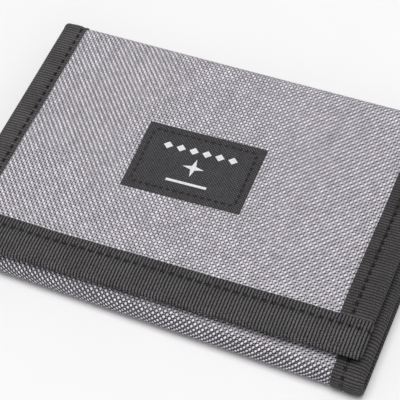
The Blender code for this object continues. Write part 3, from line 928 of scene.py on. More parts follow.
def tape_material(name, valley_shade, crown_highlight):
    """Ribbed black binding tape: a painted shade between its ribs and a painted highlight on them."""
    material, tree, shader = new_material(name, 0.62, Specular_IOR_Level=0.15)
    coordinates = yarn_coordinates(tree)
    ribs = placed_group(
        tree,
        GROUPS["ribs"],
        Coordinates=coordinates,
        Rib_Pitch=RIB_PITCH / MM,
        Thread_Pitch=0.42,
    )
    fuzz = placed_group(tree, GROUPS["fuzz"], Coordinates=coordinates, Scale=2.6)
    beads = ramp(tree, ribs.outputs["Threads"], 0.0, 0.8, 0.55, 1.0)
    raised = calc(tree, "MULTIPLY", ribs.outputs["Crown"], beads)
    raised = tinted(tree, raised, fuzz.outputs["Height"], 0.3, 0.65, 0.45, 1.3)
    # The colour between the ribs is a painted shade, and on the ribs and their threads a painted
    # highlight.
    colour = mix_colour(tree, ramp(tree, raised, 0.2, 1.0), valley_shade, crown_highlight)
    colour = mix_colour(tree, fuzz.outputs["Specks"], colour, (0.15, 0.14, 0.135, 1))
    tint = ramp(tree, fuzz.outputs["Patches"], 0.3, 0.7, 0.85, 1.12)
    # A painted shade in the seam's groove, darkest at each stitch.
    tint = tinted(tree, tint, mark(tree, "pressed"), 0.1, 0.8, 1.0, 0.25)
    # Paler where the tape is marked so: on the left side tape this is a painted sheen, on edge tapes
    # it runs from past the seam round the folded edge.
    tint = tinted(tree, tint, mark(tree, "faded"), 0.0, 1.0, 1.0, 1.45)
    colour = shaded(tree, colour, tint)
    tree.links.new(colour, shader.inputs["Base Color"])
    height = calc(tree, "MULTIPLY_ADD", fuzz.outputs["Height"], 0.9, ribs.outputs["Threads"])
    add_bump(tree, shader, height, 0.07 * MM)
    return material


def fine_cloth_material(name, colour, thread_pitch, roughness, relief):
    """Close black cloth, with threads too fine to count at arm's length."""
    # As on the grey cloth, the darkest of these colours is a painted shade between the yarns, and the
    # palest a painted highlight on their crowns.
    gap_shade, yarn, crown_highlight = ((*(share * channel for channel in colour), 1) for share in (0.15, 0.95, 2.1))
    return woven_material(
        name,
        (thread_pitch, thread_pitch),
        (gap_shade, yarn, crown_highlight),
        relief,
        roughness,
        Specular_IOR_Level=0.2,
    )


def grained_material(name, roughness, grain, colours, relief, limits=None, **plain):
    """One finish whose grain, (scale, detail, roughness), gives its colour and relief.

    limits narrow the range of the grain over which its two colours change.
    """
    material, tree, shader = new_material(name, roughness, **plain)
    height = noise(tree, object_coordinates(tree, 1 / MM), *grain)
    share = ramp(tree, height, *limits) if limits else height
    tree.links.new(mix_colour(tree, share, *colours), shader.inputs["Base Color"])
    add_bump(tree, shader, height, relief)
    return material


def metal_material():
    """Dark plated zip metal, with brushed grain and paler worn patches."""
    material, tree, shader = new_material("dark_zip_metal", 0.32, Metallic=1.0)
    coordinates = object_coordinates(tree, 1 / MM)
    grain = noise(tree, coordinates, 6.0, 4.0, 0.6)
    wear = ramp(tree, noise(tree, coordinates, 0.7, 4.0, 0.7), 0.52, 0.72)
    colour = mix_colour(tree, wear, (0.11, 0.11, 0.118, 1), (0.26, 0.26, 0.27, 1))
    tree.links.new(colour, shader.inputs["Base Color"])
    tree.links.new(ramp(tree, grain, 0.2, 0.8, 0.24, 0.42), shader.inputs["Roughness"])
    add_bump(tree, shader, grain, 0.01 * MM)
    return material


def vinyl_material():
    """Clear flexible vinyl, slightly rippled and scuffed."""
    material, tree, shader = new_material("clear_vinyl_sheet", 0.12, IOR=1.45, Alpha=0.12)
    coordinates = object_coordinates(tree, 1 / MM)
    ripple = noise(tree, coordinates, 0.08, 2.0)
    scuffs = noise(tree, coordinates, 1.4, 5.0, 0.75)
    colour = mix_colour(tree, scuffs, (0.42, 0.43, 0.45, 1), (0.62, 0.63, 0.65, 1))
    tree.links.new(colour, shader.inputs["Base Color"])
    tree.links.new(ramp(tree, scuffs, 0.5, 0.8, 0.06, 0.25), shader.inputs["Roughness"])
    add_bump(tree, shader, ripple, 0.6 * MM)
    return material


def floor_material():
    material, tree, shader = new_material("pale_table", 0.9)
    coordinates = object_coordinates(tree, 40.0)
    soft = noise(tree, coordinates, 1.0, 2.0)
    colour = mix_colour(tree, soft, (0.905, 0.90, 0.905, 1), (0.925, 0.92, 0.925, 1))
    tree.links.new(colour, shader.inputs["Base Color"])
    return material


GROUPS = {"weave": make_weave_group(), "fuzz": make_fuzz_group(), "ribs": make_rib_group()}
# Grey cloth colours: a painted shade between the yarns, the yarn itself, and a painted highlight on
# its crowns.
GREY_SHADE_YARN_HIGHLIGHT = ((0.04, 0.036, 0.043, 1), (0.53, 0.507, 0.55, 1), (0.71, 0.68, 0.735, 1))
MATERIALS = {
    "grey_cloth": woven_material(
        "grey_cloth_weave", YARN_PITCH, GREY_SHADE_YARN_HIGHLIGHT, 0.16 * MM, 0.8, 0.5, Specular_IOR_Level=0.2
    ),
    # The edge tape gets a darker painted shade between its ribs and a paler painted highlight on them
    # than the side tapes, standing in for the raking light on it.
    "black_tape": tape_material(
        "black_tape_weave", (0.004, 0.004, 0.0045, 1), (0.138, 0.132, 0.134, 1)
    ),
    "black_side_tape": tape_material(
        "black_side_tape_weave", (0.022, 0.021, 0.022, 1), (0.095, 0.09, 0.091, 1)
    ),
    "black_lining": fine_cloth_material(
        "black_lining_weave", (0.026, 0.026, 0.028), 0.4 * MM, 0.55, 0.05 * MM
    ),
    "black_label": fine_cloth_material(
        "black_label_weave", (0.052, 0.050, 0.053), 0.46 * MM, 0.7, 0.05 * MM
    ),
    "thread": grained_material(
        "black_thread",
        0.5,
        (5.0, 3.0),
        ((0.003, 0.003, 0.003, 1), (0.02, 0.019, 0.02, 1)),
        0.04 * MM,
        Specular_IOR_Level=0.3,
    ),
    "print": grained_material(
        "white_print",
        0.6,
        (4.0, 3.0),
        ((0.62, 0.62, 0.63, 1), (0.86, 0.86, 0.87, 1)),
        0.02 * MM,
        limits=(0.3, 0.7),
    ),
    "nap": grained_material(
        "black_nap",
        0.9,
        (2.2, 5.0, 0.7),
        ((0.006, 0.006, 0.007, 1), (0.035, 0.035, 0.036, 1)),
        0.25 * MM,
        Sheen_Weight=0.3,
    ),
    "black_coil": grained_material(
        "black_coil_nylon",
        0.5,
        (3.0, 3.0),
        ((0.010, 0.010, 0.011, 1), (0.022, 0.022, 0.024, 1)),
        0.01 * MM,
        Specular_IOR_Level=0.2,
    ),
    "metal": metal_material(),
    "vinyl": vinyl_material(),
    "table": floor_material(),
}


# ---------------------------------------------------------------- repeated pieces


def growing_tree(name, inputs):
    """An empty tree with named inputs, its two end nodes and its inputs' identifiers."""
    tree = bpy.data.node_groups.new(name, "GeometryNodeTree")
    new_output(tree, "Geometry", "NodeSocketGeometry")
    new_input(tree, "Geometry", "NodeSocketGeometry")
    ids = {label: new_input(tree, label, kind, default) for label, kind, default in inputs}
    source = tree.nodes.new("NodeGroupInput")
    result = tree.nodes.new("NodeGroupOutput")
    return tree, source, result, ids


def finish_tree(tree, source, result, points, copy, rotation, scale=None):
    """Sets copies on points, makes them real and gives them their material."""
    copies = node_with(
        tree,
        "GeometryNodeInstanceOnPoints",
        Points=points,
        Instance=copy,
        Rotation=rotation,
        Scale=scale,
    )
    real = node_with(tree, "GeometryNodeRealizeInstances", Geometry=copies.outputs[0])
    material = source.outputs["Material"]
    finish = node_with(
        tree, "GeometryNodeSetMaterial", Geometry=real.outputs[0], Material=material
    )
    tree.links.new(finish.outputs["Geometry"], result.inputs["Geometry"])


def line_tree(name, inputs, make_copy):
    """A tree that sets copies along a drawn line, each turned to the line.

    make_copy builds one copy from the tree and its input sockets.
    """
    tree, source, result, ids = growing_tree(name, inputs)
    line = node_with(tree, "GeometryNodeMeshToCurve", Mesh=source.outputs["Geometry"])
    spaced = tree.nodes.new("GeometryNodeCurveToPoints")
    spaced.mode = "LENGTH"
    tree.links.new(line.outputs["Curve"], spaced.inputs["Curve"])
    tree.links.new(source.outputs["Spacing"], spaced.inputs["Length"])
    up = node_with(tree, "GeometryNodeInputNamedAttribute", Name="up")
    up.data_type = "FLOAT_VECTOR"
    along = node_with(
        tree, "FunctionNodeAlignRotationToVector", Vector=spaced.outputs["Tangent"]
    )
    along.axis = "X"
    upright = node_with(
        tree,
        "FunctionNodeAlignRotationToVector",
        Rotation=along.outputs[0],
        Vector=up.outputs["Attribute"],
    )
    upright.axis = "Z"
    upright.pivot_axis = "X"
    copy = make_copy(tree, source)
    finish_tree(tree, source, result, spaced.outputs["Points"], copy, upright.outputs[0])
    return tree, ids


def one_stitch(tree, source):
    """A short rounded stitch, longest along X."""
    ball = node_with(tree, "GeometryNodeMeshUVSphere", Segments=8, Rings=6, Radius=0.5)
    stretched = node_with(
        tree,
        "GeometryNodeTransform",
        Geometry=ball.outputs["Mesh"],
        Scale=source.outputs["Stitch Size"],
    )
    return stretched.outputs["Geometry"]


def bent_tube(tree, arc_steps, sweep, sides, radius, turn):
    """A tube bent round an arc one unit across, then turned."""
    arc = node_with(
        tree, "GeometryNodeCurveArc", Resolution=arc_steps, Radius=0.5, Sweep_Angle=sweep
    )
    profile = node_with(
        tree, "GeometryNodeCurvePrimitiveCircle", Resolution=sides, Radius=radius
    )
    tube = node_with(
        tree,
        "GeometryNodeCurveToMesh",
        Curve=arc.outputs["Curve"],
        Profile_Curve=profile.outputs["Curve"],
        Fill_Caps=True,
    )
    stood = node_with(
        tree, "GeometryNodeTransform", Geometry=tube.outputs["Mesh"], Rotation=turn
    )
    return stood.outputs["Geometry"]


def one_tooth(tree, source):
    """One turn of a nylon coil: a short bowed loop across the row."""
    tooth = bent_tube(tree, 7, pi, 6, COIL_TUBE, (pi / 2, 0, pi / 2))
    sized = node_with(
        tree, "GeometryNodeTransform", Geometry=tooth, Scale=source.outputs["Tooth Size"]
    )
    return sized.outputs["Geometry"]


def lean_limit(tree, source, sign):
    """One limit of a loop's lean about X and Y, with any turn about Z."""
    lean = calc(tree, "MULTIPLY", source.outputs["Lean"], sign)
    return combine(tree, lean, lean, sign * pi)


def nap_tree():
    """Small standing loops scattered over a strip."""
    inputs = (
        ("Row Spacing", "NodeSocketFloat", 0.0013),
        ("Loop Height", "NodeSocketFloat", 0.0007),
        ("Lean", "NodeSocketFloat", 0.5),
        ("Material", "NodeSocketMaterial", None),
    )
    tree, source, result, ids = growing_tree("Hook or loop nap", inputs)
    points = tree.nodes.new("GeometryNodeDistributePointsOnFaces")
    points.distribute_method = "POISSON"
    points.inputs["Seed"].default_value = 4
    points.inputs["Density Max"].default_value = 1.2e6
    tree.links.new(source.outputs["Geometry"], points.inputs["Mesh"])
    tree.links.new(source.outputs["Row Spacing"], points.inputs["Distance Min"])
    loop = bent_tube(tree, 6, radians(215), 4, 0.1, (pi / 2, 0, 0))
    turn = tree.nodes.new("FunctionNodeRandomValue")
    turn.data_type = "FLOAT_VECTOR"
    turn.inputs["Seed"].default_value = 9
    tree.links.new(lean_limit(tree, source, -1), turn.inputs[0])
    tree.links.new(lean_limit(tree, source, 1), turn.inputs[1])
    height = source.outputs["Loop Height"]
    finish_tree(tree, source, result, points.outputs["Points"], loop, turn.outputs[0], height)
    return tree, ids


STITCHES = line_tree(
    "Stitch run",
    (
        ("Spacing", "NodeSocketFloat", STITCH_PITCH),
        ("Stitch Size", "NodeSocketVector", STITCH_SIZE),
        ("Material", "NodeSocketMaterial", None),
    ),
    one_stitch,
)
COILS = line_tree(
    "Zip coil",
    (
        ("Spacing", "NodeSocketFloat", COIL_PITCH),
        ("Tooth Size", "NodeSocketVector", (COIL_LENGTH, 1.7 * MM, 1.2 * MM)),
        ("Material", "NodeSocketMaterial", None),
    ),
    one_tooth,
)
NAP = nap_tree()


def grown(name, base, kind, values, finish):
    """Runs one of the trees above on a base mesh and makes a plain mesh piece of it."""
    tree, ids = kind
    carrier = bpy.data.objects.new(f"{name}_line", base)
    bpy.context.scene.collection.objects.link(carrier)
    modifier = carrier.modifiers.new("grow", "NODES")
    modifier.node_group = tree
    for label, value in values.items():
        modifier[ids[label]] = value
    modifier[ids["Material"]] = MATERIALS[finish]
    bpy.context.view_layer.update()
    evaluated = carrier.evaluated_get(bpy.context.evaluated_depsgraph_get())
    mesh = bpy.data.meshes.new_from_object(evaluated)
    bpy.data.objects.remove(carrier, do_unlink=True)
    mesh.name = name
    return link_mesh(name, mesh, finish)


def line_mesh(name, points, ups):
    """An open line of points, each with the direction its copies stand in."""
    mesh = bpy.data.meshes.new(name)
    edges = [(i, i + 1) for i in range(len(points) - 1)]
    mesh.from_pydata(points.tolist(), edges, [])
    attribute = mesh.attributes.new("up", "FLOAT_VECTOR", "POINT")
    attribute.data.foreach_set("vector", ups.astype(np.float32).ravel())
    return mesh


def stitch_run(name, x, s, depth, side, region, pitch=STITCH_PITCH, size=STITCH_SIZE):
    """Stitches along a line on the strip's outer face (side 1) or inner face (-1)."""
    x, s, depth = (np.array(values, float) for values in np.broadcast_arrays(x, s, depth))
    _, _, out_y, out_z = face_at(s)
    ups = side * np.stack([np.zeros(s.shape), out_y, out_z], -1)
    base = line_mesh(name, place(x, s, depth), ups)
    values = {"Spacing": pitch, "Stitch Size": size}
    piece = grown(name, base, STITCHES, values, "thread")
    return hold(piece, region)


# ---------------------------------------------------------------- the pieces


def body_lining_edge(s):
    flap_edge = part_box("lining_flap")[1].x
    back_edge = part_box("lining_back")[1].x
    return back_edge + (flap_edge - back_edge) * far_share(s)


def near_lining_edge(s):
    return BODY_HALF - CLOTH_MARGIN + 0 * s


def add_cloths():
    return {
        "flap": add_cloth("flap", ["shell_flap"]),
        "far_upper": add_cloth("far_upper", ["shell_far_fold"]),
        "far_lower": add_cloth("far_lower", []),
        "back": add_cloth("back", ["shell_back"]),
        "near_lower": add_cloth("near_lower", ["shell_near_fold"]),
        "near_upper": add_cloth("near_upper", []),
        "inner": add_cloth("inner", ["shell_inner"]),
    }


def add_linings():
    return {
        "flap": add_lining("flap", body_lining_edge, ["lining_flap"]),
        "far_upper": add_lining("far_upper", body_lining_edge, ["lining_far_fold"]),
        "far_lower": add_lining("far_lower", body_lining_edge, []),
        "back": add_lining("back", body_lining_edge, ["lining_back"]),
        "near_lower": add_lining("near_lower", near_lining_edge, ["lining_near_fold"]),
        "near_upper": add_lining("near_upper", near_lining_edge, []),
    }


def add_side_tapes():
    """Binding tape on both sides, with a row of stitches on each of its faces."""
    far_depths = {"left": BOUND_TOGETHER, "right": BOUND_SHELL_ONLY}
    under_edge_tape = on_flap(FLAP_EDGE_TIP) + 3 * MM
    under_inner_tape = INNER_EDGE - INNER_EDGE_TIP - 3 * MM
    for seed, side in enumerate(("left", "right")):
        runs = (
            ("flap", far_depths[side], [f"binding_flap_{side}"]),
            ("far_upper", far_depths[side], [f"binding_far_fold_{side}"]),
            ("far_lower", far_depths[side], []),
            ("back", far_depths[side], [f"binding_back_{side}"]),
            ("near_lower", BOUND_TOGETHER, [f"binding_near_fold_{side}"]),
            ("near_upper", BOUND_TOGETHER, []),
            ("inner", POCKET_BOUND, [f"binding_inner_{side}"]),
        )
        for region, depths, stands_for in runs:
            low, high = REGIONS[region]
            high = min(high, under_edge_tape)
            low = max(low, under_inner_tape)
            name = f"tape_{side}_{region}"
            piece = tape_along_strip(name, side, region, depths, seed + 1, (low, high))
            hold(piece, region, stands_for)
            add_side_seam(side, region, depths, (low, high))


def add_side_seam(side, region, depths, limits):
    """The tape's stitches, on its outer leg and again on its inner one."""
    sign = {"left": -1, "right": 1}[side]
    low, high = limits
    if region == "flap":
        high = on_flap(FLAP_EDGE_TIP) - 1.5 * MM
    if region == "inner":
        low = INNER_EDGE - INNER_EDGE_TIP + 1.5 * MM
    s = seam_steps(low, high)
    x = sign * (half_width(s) - tape_width(side, s) + SEAM_INSETS[side])
    stitch_run(f"stitches_{side}_{region}", x, s, depths[0] + STITCH_SINK, 1, region)
    stitch_run(f"stitches_inside_{side}_{region}", x, s, depths[1] - STITCH_SINK, -1, region)


def edge_tape_limits(half, layers):
    """How far an edge tape reaches across the strip, and its two faces' depths."""
    reach = (-half - EDGE_TAPE_OVERHANG, half + EDGE_TAPE_OVERHANG)
    depths = (-EDGE_TAPE_STANDS_OUT, layers[1] + EDGE_TAPE_STANDS_OUT)
    return reach, depths


def add_edge_seam(name, x, s, inside_depth, region):
    """An edge tape's stitches, on its outer leg and again on its inner one."""
    stitch_run(f"stitches_{name}", x, s, FINE_STITCH_SINK, 1, region)
    stitch_run(f"stitches_inside_{name}", x, s, inside_depth - STITCH_SINK, -1, region)


def add_flap_edge_tape():
    """Tape round the flap's free edge, with one more row of stitches at its corner."""
    reach, depths = edge_tape_limits(FLAP_HALF, BOUND_TOGETHER)
    seam = SEAM_INSETS["edge"]
    piece = tape_along_x(
        "tape_flap_edge",
        reach,
        FLAP_EDGE,
        FLAP_EDGE_TIP,
        depths,
        on_flap,
        seam,
        5,
        shoulder=0.5 * MM,
    )
    hold(piece, "flap", ["binding_flap_edge"])
    x = seam_steps(1.5 * MM - FLAP_HALF, FLAP_HALF - 1.5 * MM)
    y = FLAP_EDGE_TIP - seam - 1.2 * MM * smooth(x, 40 * MM, FLAP_HALF)
    add_edge_seam("flap_edge", x, on_flap(y), depths[1], "flap")
    corner_x = steps(FLAP_HALF - 9 * MM, FLAP_HALF - 1.5 * MM, 1.0 * MM)
    corner_s = on_flap(FLAP_EDGE + CORNER_SEAM_INSET)
    stitch_run("stitches_flap_corner", corner_x, corner_s, 0.0, 1, "flap")


def add_inner_edge_tape():
    """Tape round the inner panel's free edge."""
    reach, depths = edge_tape_limits(BODY_HALF, POCKET_BOUND)
    seam = SEAM_INSETS["inner_edge"]
    piece = tape_along_x(
        "tape_inner_edge", reach, INNER_EDGE, INNER_EDGE_TIP, depths, on_inner, seam, 7
    )
    hold(piece, "inner", ["binding_inner_edge"])
    x = seam_steps(1.5 * MM - BODY_HALF, BODY_HALF - 1.5 * MM)
    add_edge_seam("inner_edge", x, on_inner(INNER_EDGE_TIP + seam), depths[1], "inner")


def label_point(a, b, rise):
    """A point of the label from its own centre, rise above the cloth."""
    low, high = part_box("label_patch")
    centre = (low + high) / 2
    x = centre.x + a * cos(LABEL_TURN) - b * sin(LABEL_TURN)
    y = centre.y + a * sin(LABEL_TURN) + b * cos(LABEL_TURN)
    return place(x, on_flap(y), CLOTH_OPEN - rise)


def label_edge(a, b):
    """How far inside the label's nearest edge a point is."""
    return np.minimum(LABEL_SIZE[0] / 2 - np.abs(a), LABEL_SIZE[1] / 2 - np.abs(b))


def label_press(a, b):
    """How hard the label is pulled in by its seam, most of all at each stitch; its material darkens by
    it, a painted shade in the seam's groove.
    """
    line = np.exp(-(((label_edge(a, b) - LABEL_SEAM_INSET) / (0.42 * MM)) ** 2))
    beside = LABEL_SIZE[0] / 2 - np.abs(a) < LABEL_SIZE[1] / 2 - np.abs(b)
    along = np.where(beside, b, a)
    return line * (0.6 + 0.4 * np.cos(2 * pi * along / LABEL_STITCH_PITCH))


def label_rise(a, b):
    """The label's height over the cloth: pulled in at its seam, round at its rim."""
    rise = LABEL_RISE - 0.2 * MM * label_press(a, b)
    return rise - 0.24 * MM * (1 - smooth(label_edge(a, b), 0, 0.6 * MM))


def add_label():
    half_a, half_b = LABEL_SIZE[0] / 2, LABEL_SIZE[1] / 2
    a = steps(-half_a, half_a, 0.3 * MM)[None, :]
    b = steps(-half_b, half_b, 0.3 * MM)[:, None]
    a, b = np.broadcast_arrays(a, b)
    outer = label_point(a, b, label_rise(a, b))
    inner = label_point(a, b, -0.05 * MM)
    pressed = label_press(a, b)
    uv = np.stack([a, b], -1)
    piece = slab("label", outer, inner, uv, "black_label", pressed=pressed)
    hold(piece, "flap", ["label_patch"])
    corner_a = np.floor((half_a - LABEL_SEAM_INSET) / LABEL_STITCH_PITCH) * LABEL_STITCH_PITCH
    corner_b = np.floor((half_b - LABEL_SEAM_INSET) / LABEL_STITCH_PITCH) * LABEL_STITCH_PITCH
    for name, sign in (("near", -1), ("far", 1)):
        line = steps(-corner_a, corner_a, 1.0 * MM)
        add_label_seam(f"label_stitches_{name}", line, sign * (half_b - LABEL_SEAM_INSET) + 0 * line)
    for name, sign in (("left", -1), ("right", 1)):
        line = steps(-corner_b, corner_b, 1.0 * MM)
        add_label_seam(f"label_stitches_{name}", sign * (half_a - LABEL_SEAM_INSET) + 0 * line, line)


def add_label_seam(name, a, b):
    points = label_point(a, b, LABEL_THREAD_RISE)
    ups = np.tile([0.0, 0.0, 1.0], (len(points), 1))
    base = line_mesh(name, points, ups)
    values = {"Spacing": LABEL_STITCH_PITCH, "Stitch Size": LABEL_STITCH_SIZE}
    hold(grown(name, base, STITCHES, values, "thread"), "flap")


def lozenge(centre, half_across, half_height):
    x, y = centre
    return [
        (x - half_across, y),
        (x, y - half_height),
        (x + half_across, y),
        (x, y + half_height),
    ]


def star(centre, arm, waist):
    """A plain star of four points."""
    x, y = centre
    points = []
    for i in range(8):
        radius = arm if i % 2 == 0 else waist
        angle = i * pi / 4
        points.append((x + radius * cos(angle), y + radius * sin(angle)))
    return points


def rule(centre, half_length, half_thick):
    x, y = centre
    return [
        (x - half_length, y - half_thick),
        (x + half_length, y - half_thick),
        (x + half_length, y + half_thick),
        (x - half_length, y + half_thick),
    ]


def add_label_print():
    """A plain printed device on the label: lozenges, a star and a rule."""
    outlines = [lozenge(((i - 2.5) * 4.0, 5.2), 1.45, 1.3) for i in range(6)]
    outlines.append(star((0, -0.7), 3.3, 0.95))
    outlines.append(rule((0, -6.6), 6.2, 0.42))
    bm = bmesh.new()
    for outline in outlines:
        flat = np.array(outline) * MM
        rings = [label_point(flat[:, 0], flat[:, 1], rise) for rise in PRINT_RISES]
        lower, upper = ([bm.verts.new(point) for point in ring] for ring in rings)
        bm.faces.new(upper)
        bm.faces.new(lower[::-1])
        for i in range(len(flat)):
            j = (i + 1) % len(flat)
            bm.faces.new((lower[i], lower[j], upper[j], upper[i]))
    bmesh.ops.recalc_face_normals(bm, faces=bm.faces)
    mesh = bpy.data.meshes.new("label_print")
    bm.to_mesh(mesh)
    bm.free()
    hold(link_mesh("label_print", mesh, "print"), "flap")


# ---------------------------------------------------------------- the inside


def add_hems():
    """The lining's hem along the note pocket's mouth."""
    for region, stands_for in (
        ("flap", ["lining_hem_flap"]),
        ("far_upper", ["lining_hem_far_fold"]),
        ("far_lower", []),
        ("back", ["lining_hem_back"]),
    ):
        low, high = REGIONS[region]
        high = min(high, on_flap(FLAP_EDGE_TIP) - 0.3 * MM)
        s = rib_steps(low, high)[:, None]
        edge = body_lining_edge(s)
        across = np.linspace(0, 1, 14)[None, :]
        x = edge - HEM_WIDTH * across
        relief = 0.6 * RIB_RISE * (rib_height(s) - 0.5)
        relief = relief - 0.1 * MM * np.exp(-(((across - HEM_SEAM / HEM_WIDTH) / 0.08) ** 2))
        faces = place(x, s, HEM_DEPTHS[0]), place(x, s, HEM_DEPTHS[1] + relief)
        piece = tape_slab(f"hem_{region}", s, across * HEM_WIDTH, faces)
        hold(piece, region, stands_for)
        line = seam_steps(low, high)
        seam_x = body_lining_edge(line) - HEM_SEAM
        stitch_run(f"hem_stitches_{region}", seam_x, line, 2.3 * MM, -1, region)


# Each flat panel: what turns y into s, its outer face's height and which way is in.
STATIONS = {
    "flap": (on_flap, FLAP_TOP, -1),
    "inner": (on_inner, INNER_TOP, -1),
    "back": (on_back, 0, 1),
}


def node_depths(node, panel):
    """A flat CAD node's depths in from its panel's outer face, shallow one first."""
    _, face, inward = STATIONS[panel]
    low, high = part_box(node)
    return sorted(((low.z - face) * inward, (high.z - face) * inward))


def inside_sheet(name, node, panel, finish):
    """A flat inner sheet in a CAD sheet's place."""
    station = STATIONS[panel][0]
    low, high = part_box(node)
    shallow, deep = node_depths(node, panel)
    x = steps(low.x, high.x, 1.4 * MM)[None, :]
    y = steps(low.y, high.y, 1.4 * MM)[:, None]
    x, y = np.broadcast_arrays(x, y)
    uv = np.stack([x, y], -1)
    outer = place(x, station(y), shallow)
    inner = place(x, station(y), deep)
    return hold(slab(name, outer, inner, uv, finish), panel, [node])


def inside_tape_x(name, node, panel, opens, seed):
    """A folded tape along X in a CAD tape's place; opens is +1 if its tips face +Y."""
    station = STATIONS[panel][0]
    low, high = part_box(node)
    edge, tip = (low.y, high.y) if opens > 0 else (high.y, low.y)
    depths = node_depths(node, panel)
    piece = tape_along_x(
        name,
        (low.x, high.x),
        edge,
        tip,
        depths,
        station,
        SEAM_INSETS["inside"],
        seed,
        ends_round=0.8 * MM,
        leg_steps=INNER_LEG_STEPS,
    )
    hold(piece, panel, [node])
    x = seam_steps(low.x + 1 * MM, high.x - 1 * MM)
    line = station(tip - opens * SEAM_INSETS["inside"])
    stitch_run(f"{name}_stitches", x, line, depths[1] - FINE_STITCH_SINK, -1, panel)


def inside_tape_y(name, node, panel, opens, seed):
    """A folded tape along Y in a CAD tape's place; opens is +1 if its tips face +X."""
    station = STATIONS[panel][0]
    low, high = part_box(node)
    edge, tip = (low.x, high.x) if opens > 0 else (high.x, low.x)
    depths = node_depths(node, panel)
    y = rib_steps(low.y, high.y)[:, None]
    lateral, depth, out_x, out_d, across = folded_section(
        edge, tip, depths, INNER_TAPE_THICK, INNER_LEG_STEPS
    )
    share = (lateral - edge) * opens / abs(tip - edge)
    x = lateral + share * 0.12 * MM * waver(y, seed)
    relief = tape_relief(y, across[None, :], SEAM_INSETS["inside"], 0.8)
    s = station(y)
    half = INNER_TAPE_THICK / 2
    outer = place(x + out_x * (half + relief), s, depth + out_d * (half + relief))
    inner = place(x - out_x * half, s, depth - out_d * half)
    piece = tape_slab(name, y, across, (outer, inner))
    hold(piece, panel, [node])
    line = seam_steps(low.y + 1 * MM, high.y - 1 * MM)
    seam_x = tip - opens * SEAM_INSETS["inside"]
    stitch_run(f"{name}_stitches", seam_x, station(line), depths[1] - FINE_STITCH_SINK, -1, panel)


def add_card_pockets():
    """Two stepped card pockets, bound on three sides, on the back panel."""
    sheets = []
    for level, seed in (("lower", 1), ("upper", 2)):
        node = f"card_pocket_{level}"
        sheet = inside_sheet(f"pocket_{level}", node, "back", "black_lining")
        sheets.append((sheet, node))
        inside_tape_x(f"pocket_mouth_{level}", f"card_pocket_hem_{level}", "back", 1, seed)
    inside_tape_y("pocket_tape_left", "card_tape_left", "back", 1, 3)
    inside_tape_y("pocket_tape_right", "card_tape_right", "back", -1, 4)
    inside_tape_x("pocket_tape_end", "card_tape_end", "back", -1, 5)
    return sheets


def add_card_window():
    """A clear card window inside the flap, bound all round."""
    sheet = inside_sheet("window_vinyl", "card_window", "flap", "vinyl")
    inside_tape_y("window_edge_left", "window_tape_left", "flap", 1, 6)
    inside_tape_y("window_edge_right", "window_tape_right", "flap", -1, 7)
    inside_tape_x("window_edge_mouth", "window_tape_mouth", "flap", 1, 8)
    inside_tape_x("window_edge_end", "window_tape_end", "flap", -1, 9)
    return [(sheet, "card_window")]


def nap_field(name, node, panel, up):
    """The flat field a nap grows from: the strip's lower face if up is -1."""
    station = STATIONS[panel][0]
    low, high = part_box(node)
    shallow, deep = node_depths(node, panel)
    depth = deep if up < 0 else shallow
    x = steps(low.x + 1 * MM, high.x - 1 * MM, 2 * MM)[None, :]
    y = steps(low.y + 1 * MM, high.y - 1 * MM, 2 * MM)[:, None]
    x, y = np.broadcast_arrays(x, y)
    points = place(x, station(y), depth).reshape(-1, 3)
    index = np.arange(x.size).reshape(x.shape)
    faces = quads(index[:-1, :-1], index[:-1, 1:], index[1:, 1:], index[1:, :-1])
    field = bpy.data.meshes.new(f"{name}_field")
    field.from_pydata(points.tolist(), [], faces.tolist())
    return field


def add_closure():
    """Hook strip in the flap and loop strip on the inner panel, each with its nap."""
    for name, node, panel, spacing, height, up in (
        ("hooks", "hook_strip", "flap", 1.25 * MM, 0.42 * MM, -1),
        ("loops", "loop_strip", "inner", 0.95 * MM, 0.5 * MM, 1),
    ):
        inside_sheet(f"{name}_ground", node, panel, "nap")
        field = nap_field(name, node, panel, up)
        values = {"Row Spacing": spacing, "Loop Height": height, "Lean": 0.5}
        hold(grown(name, field, NAP, values, "nap"), panel)


def add_coil(side):
    """One of the zip's two rows of coil, as wide and as high as its CAD piece."""
    row = f"zip_coil_{side}"
    low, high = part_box(row)
    middle = (low + high) / 2
    x = steps(low.x + 0.5 * MM, high.x - 0.5 * MM, 4 * MM)
    points = place(x, on_inner(middle.y), INNER_TOP - high.z + 0.1 * MM)
    ups = np.tile([0.0, 0.0, -1.0], (len(points), 1))
    base = line_mesh(row, points, ups)
    tube_share = 1 / (1 + 2 * COIL_TUBE)
    height = (high.z - low.z - 0.1 * MM) / (0.5 + COIL_TUBE)
    size = (COIL_LENGTH, (high.y - low.y) * tube_share, height)
    values = {"Spacing": COIL_PITCH, "Tooth Size": size}
    hold(grown(f"coil_{side}", base, COILS, values, "black_coil"), "inner", [row])


def add_zip_seam(side, node, y):
    """The stitches that hold one edge of the pocket's cloth to the zip."""
    low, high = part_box(node)
    x = steps(low.x + 12 * MM, high.x - 12 * MM, 1.0 * MM)
    depth = node_depths(node, "inner")[1] + 0.02 * MM
    stitch_run(f"zip_stitches_{side}", x, on_inner(y), depth, -1, "inner")


def add_coin_pocket():
    """The coin pocket's front, its zip's tapes and its two rows of coil."""
    sheets = []
    for part in ("front", "top"):
        node = f"coin_pocket_{part}"
        sheet = inside_sheet(f"coin_{part}", node, "inner", "black_lining")
        sheets.append((sheet, node))
    for side in ("near", "far"):
        node = f"zip_tape_{side}"
        inside_sheet(f"zip_cloth_{side}", node, "inner", "black_lining")
        add_coil(side)
    front, top = (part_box(node) for _, node in sheets)
    add_zip_seam("near", "coin_pocket_front", front[1].y - ZIP_SEAM_INSET)
    add_zip_seam("far", "coin_pocket_top", top[0].y + ZIP_SEAM_INSET)
    return sheets


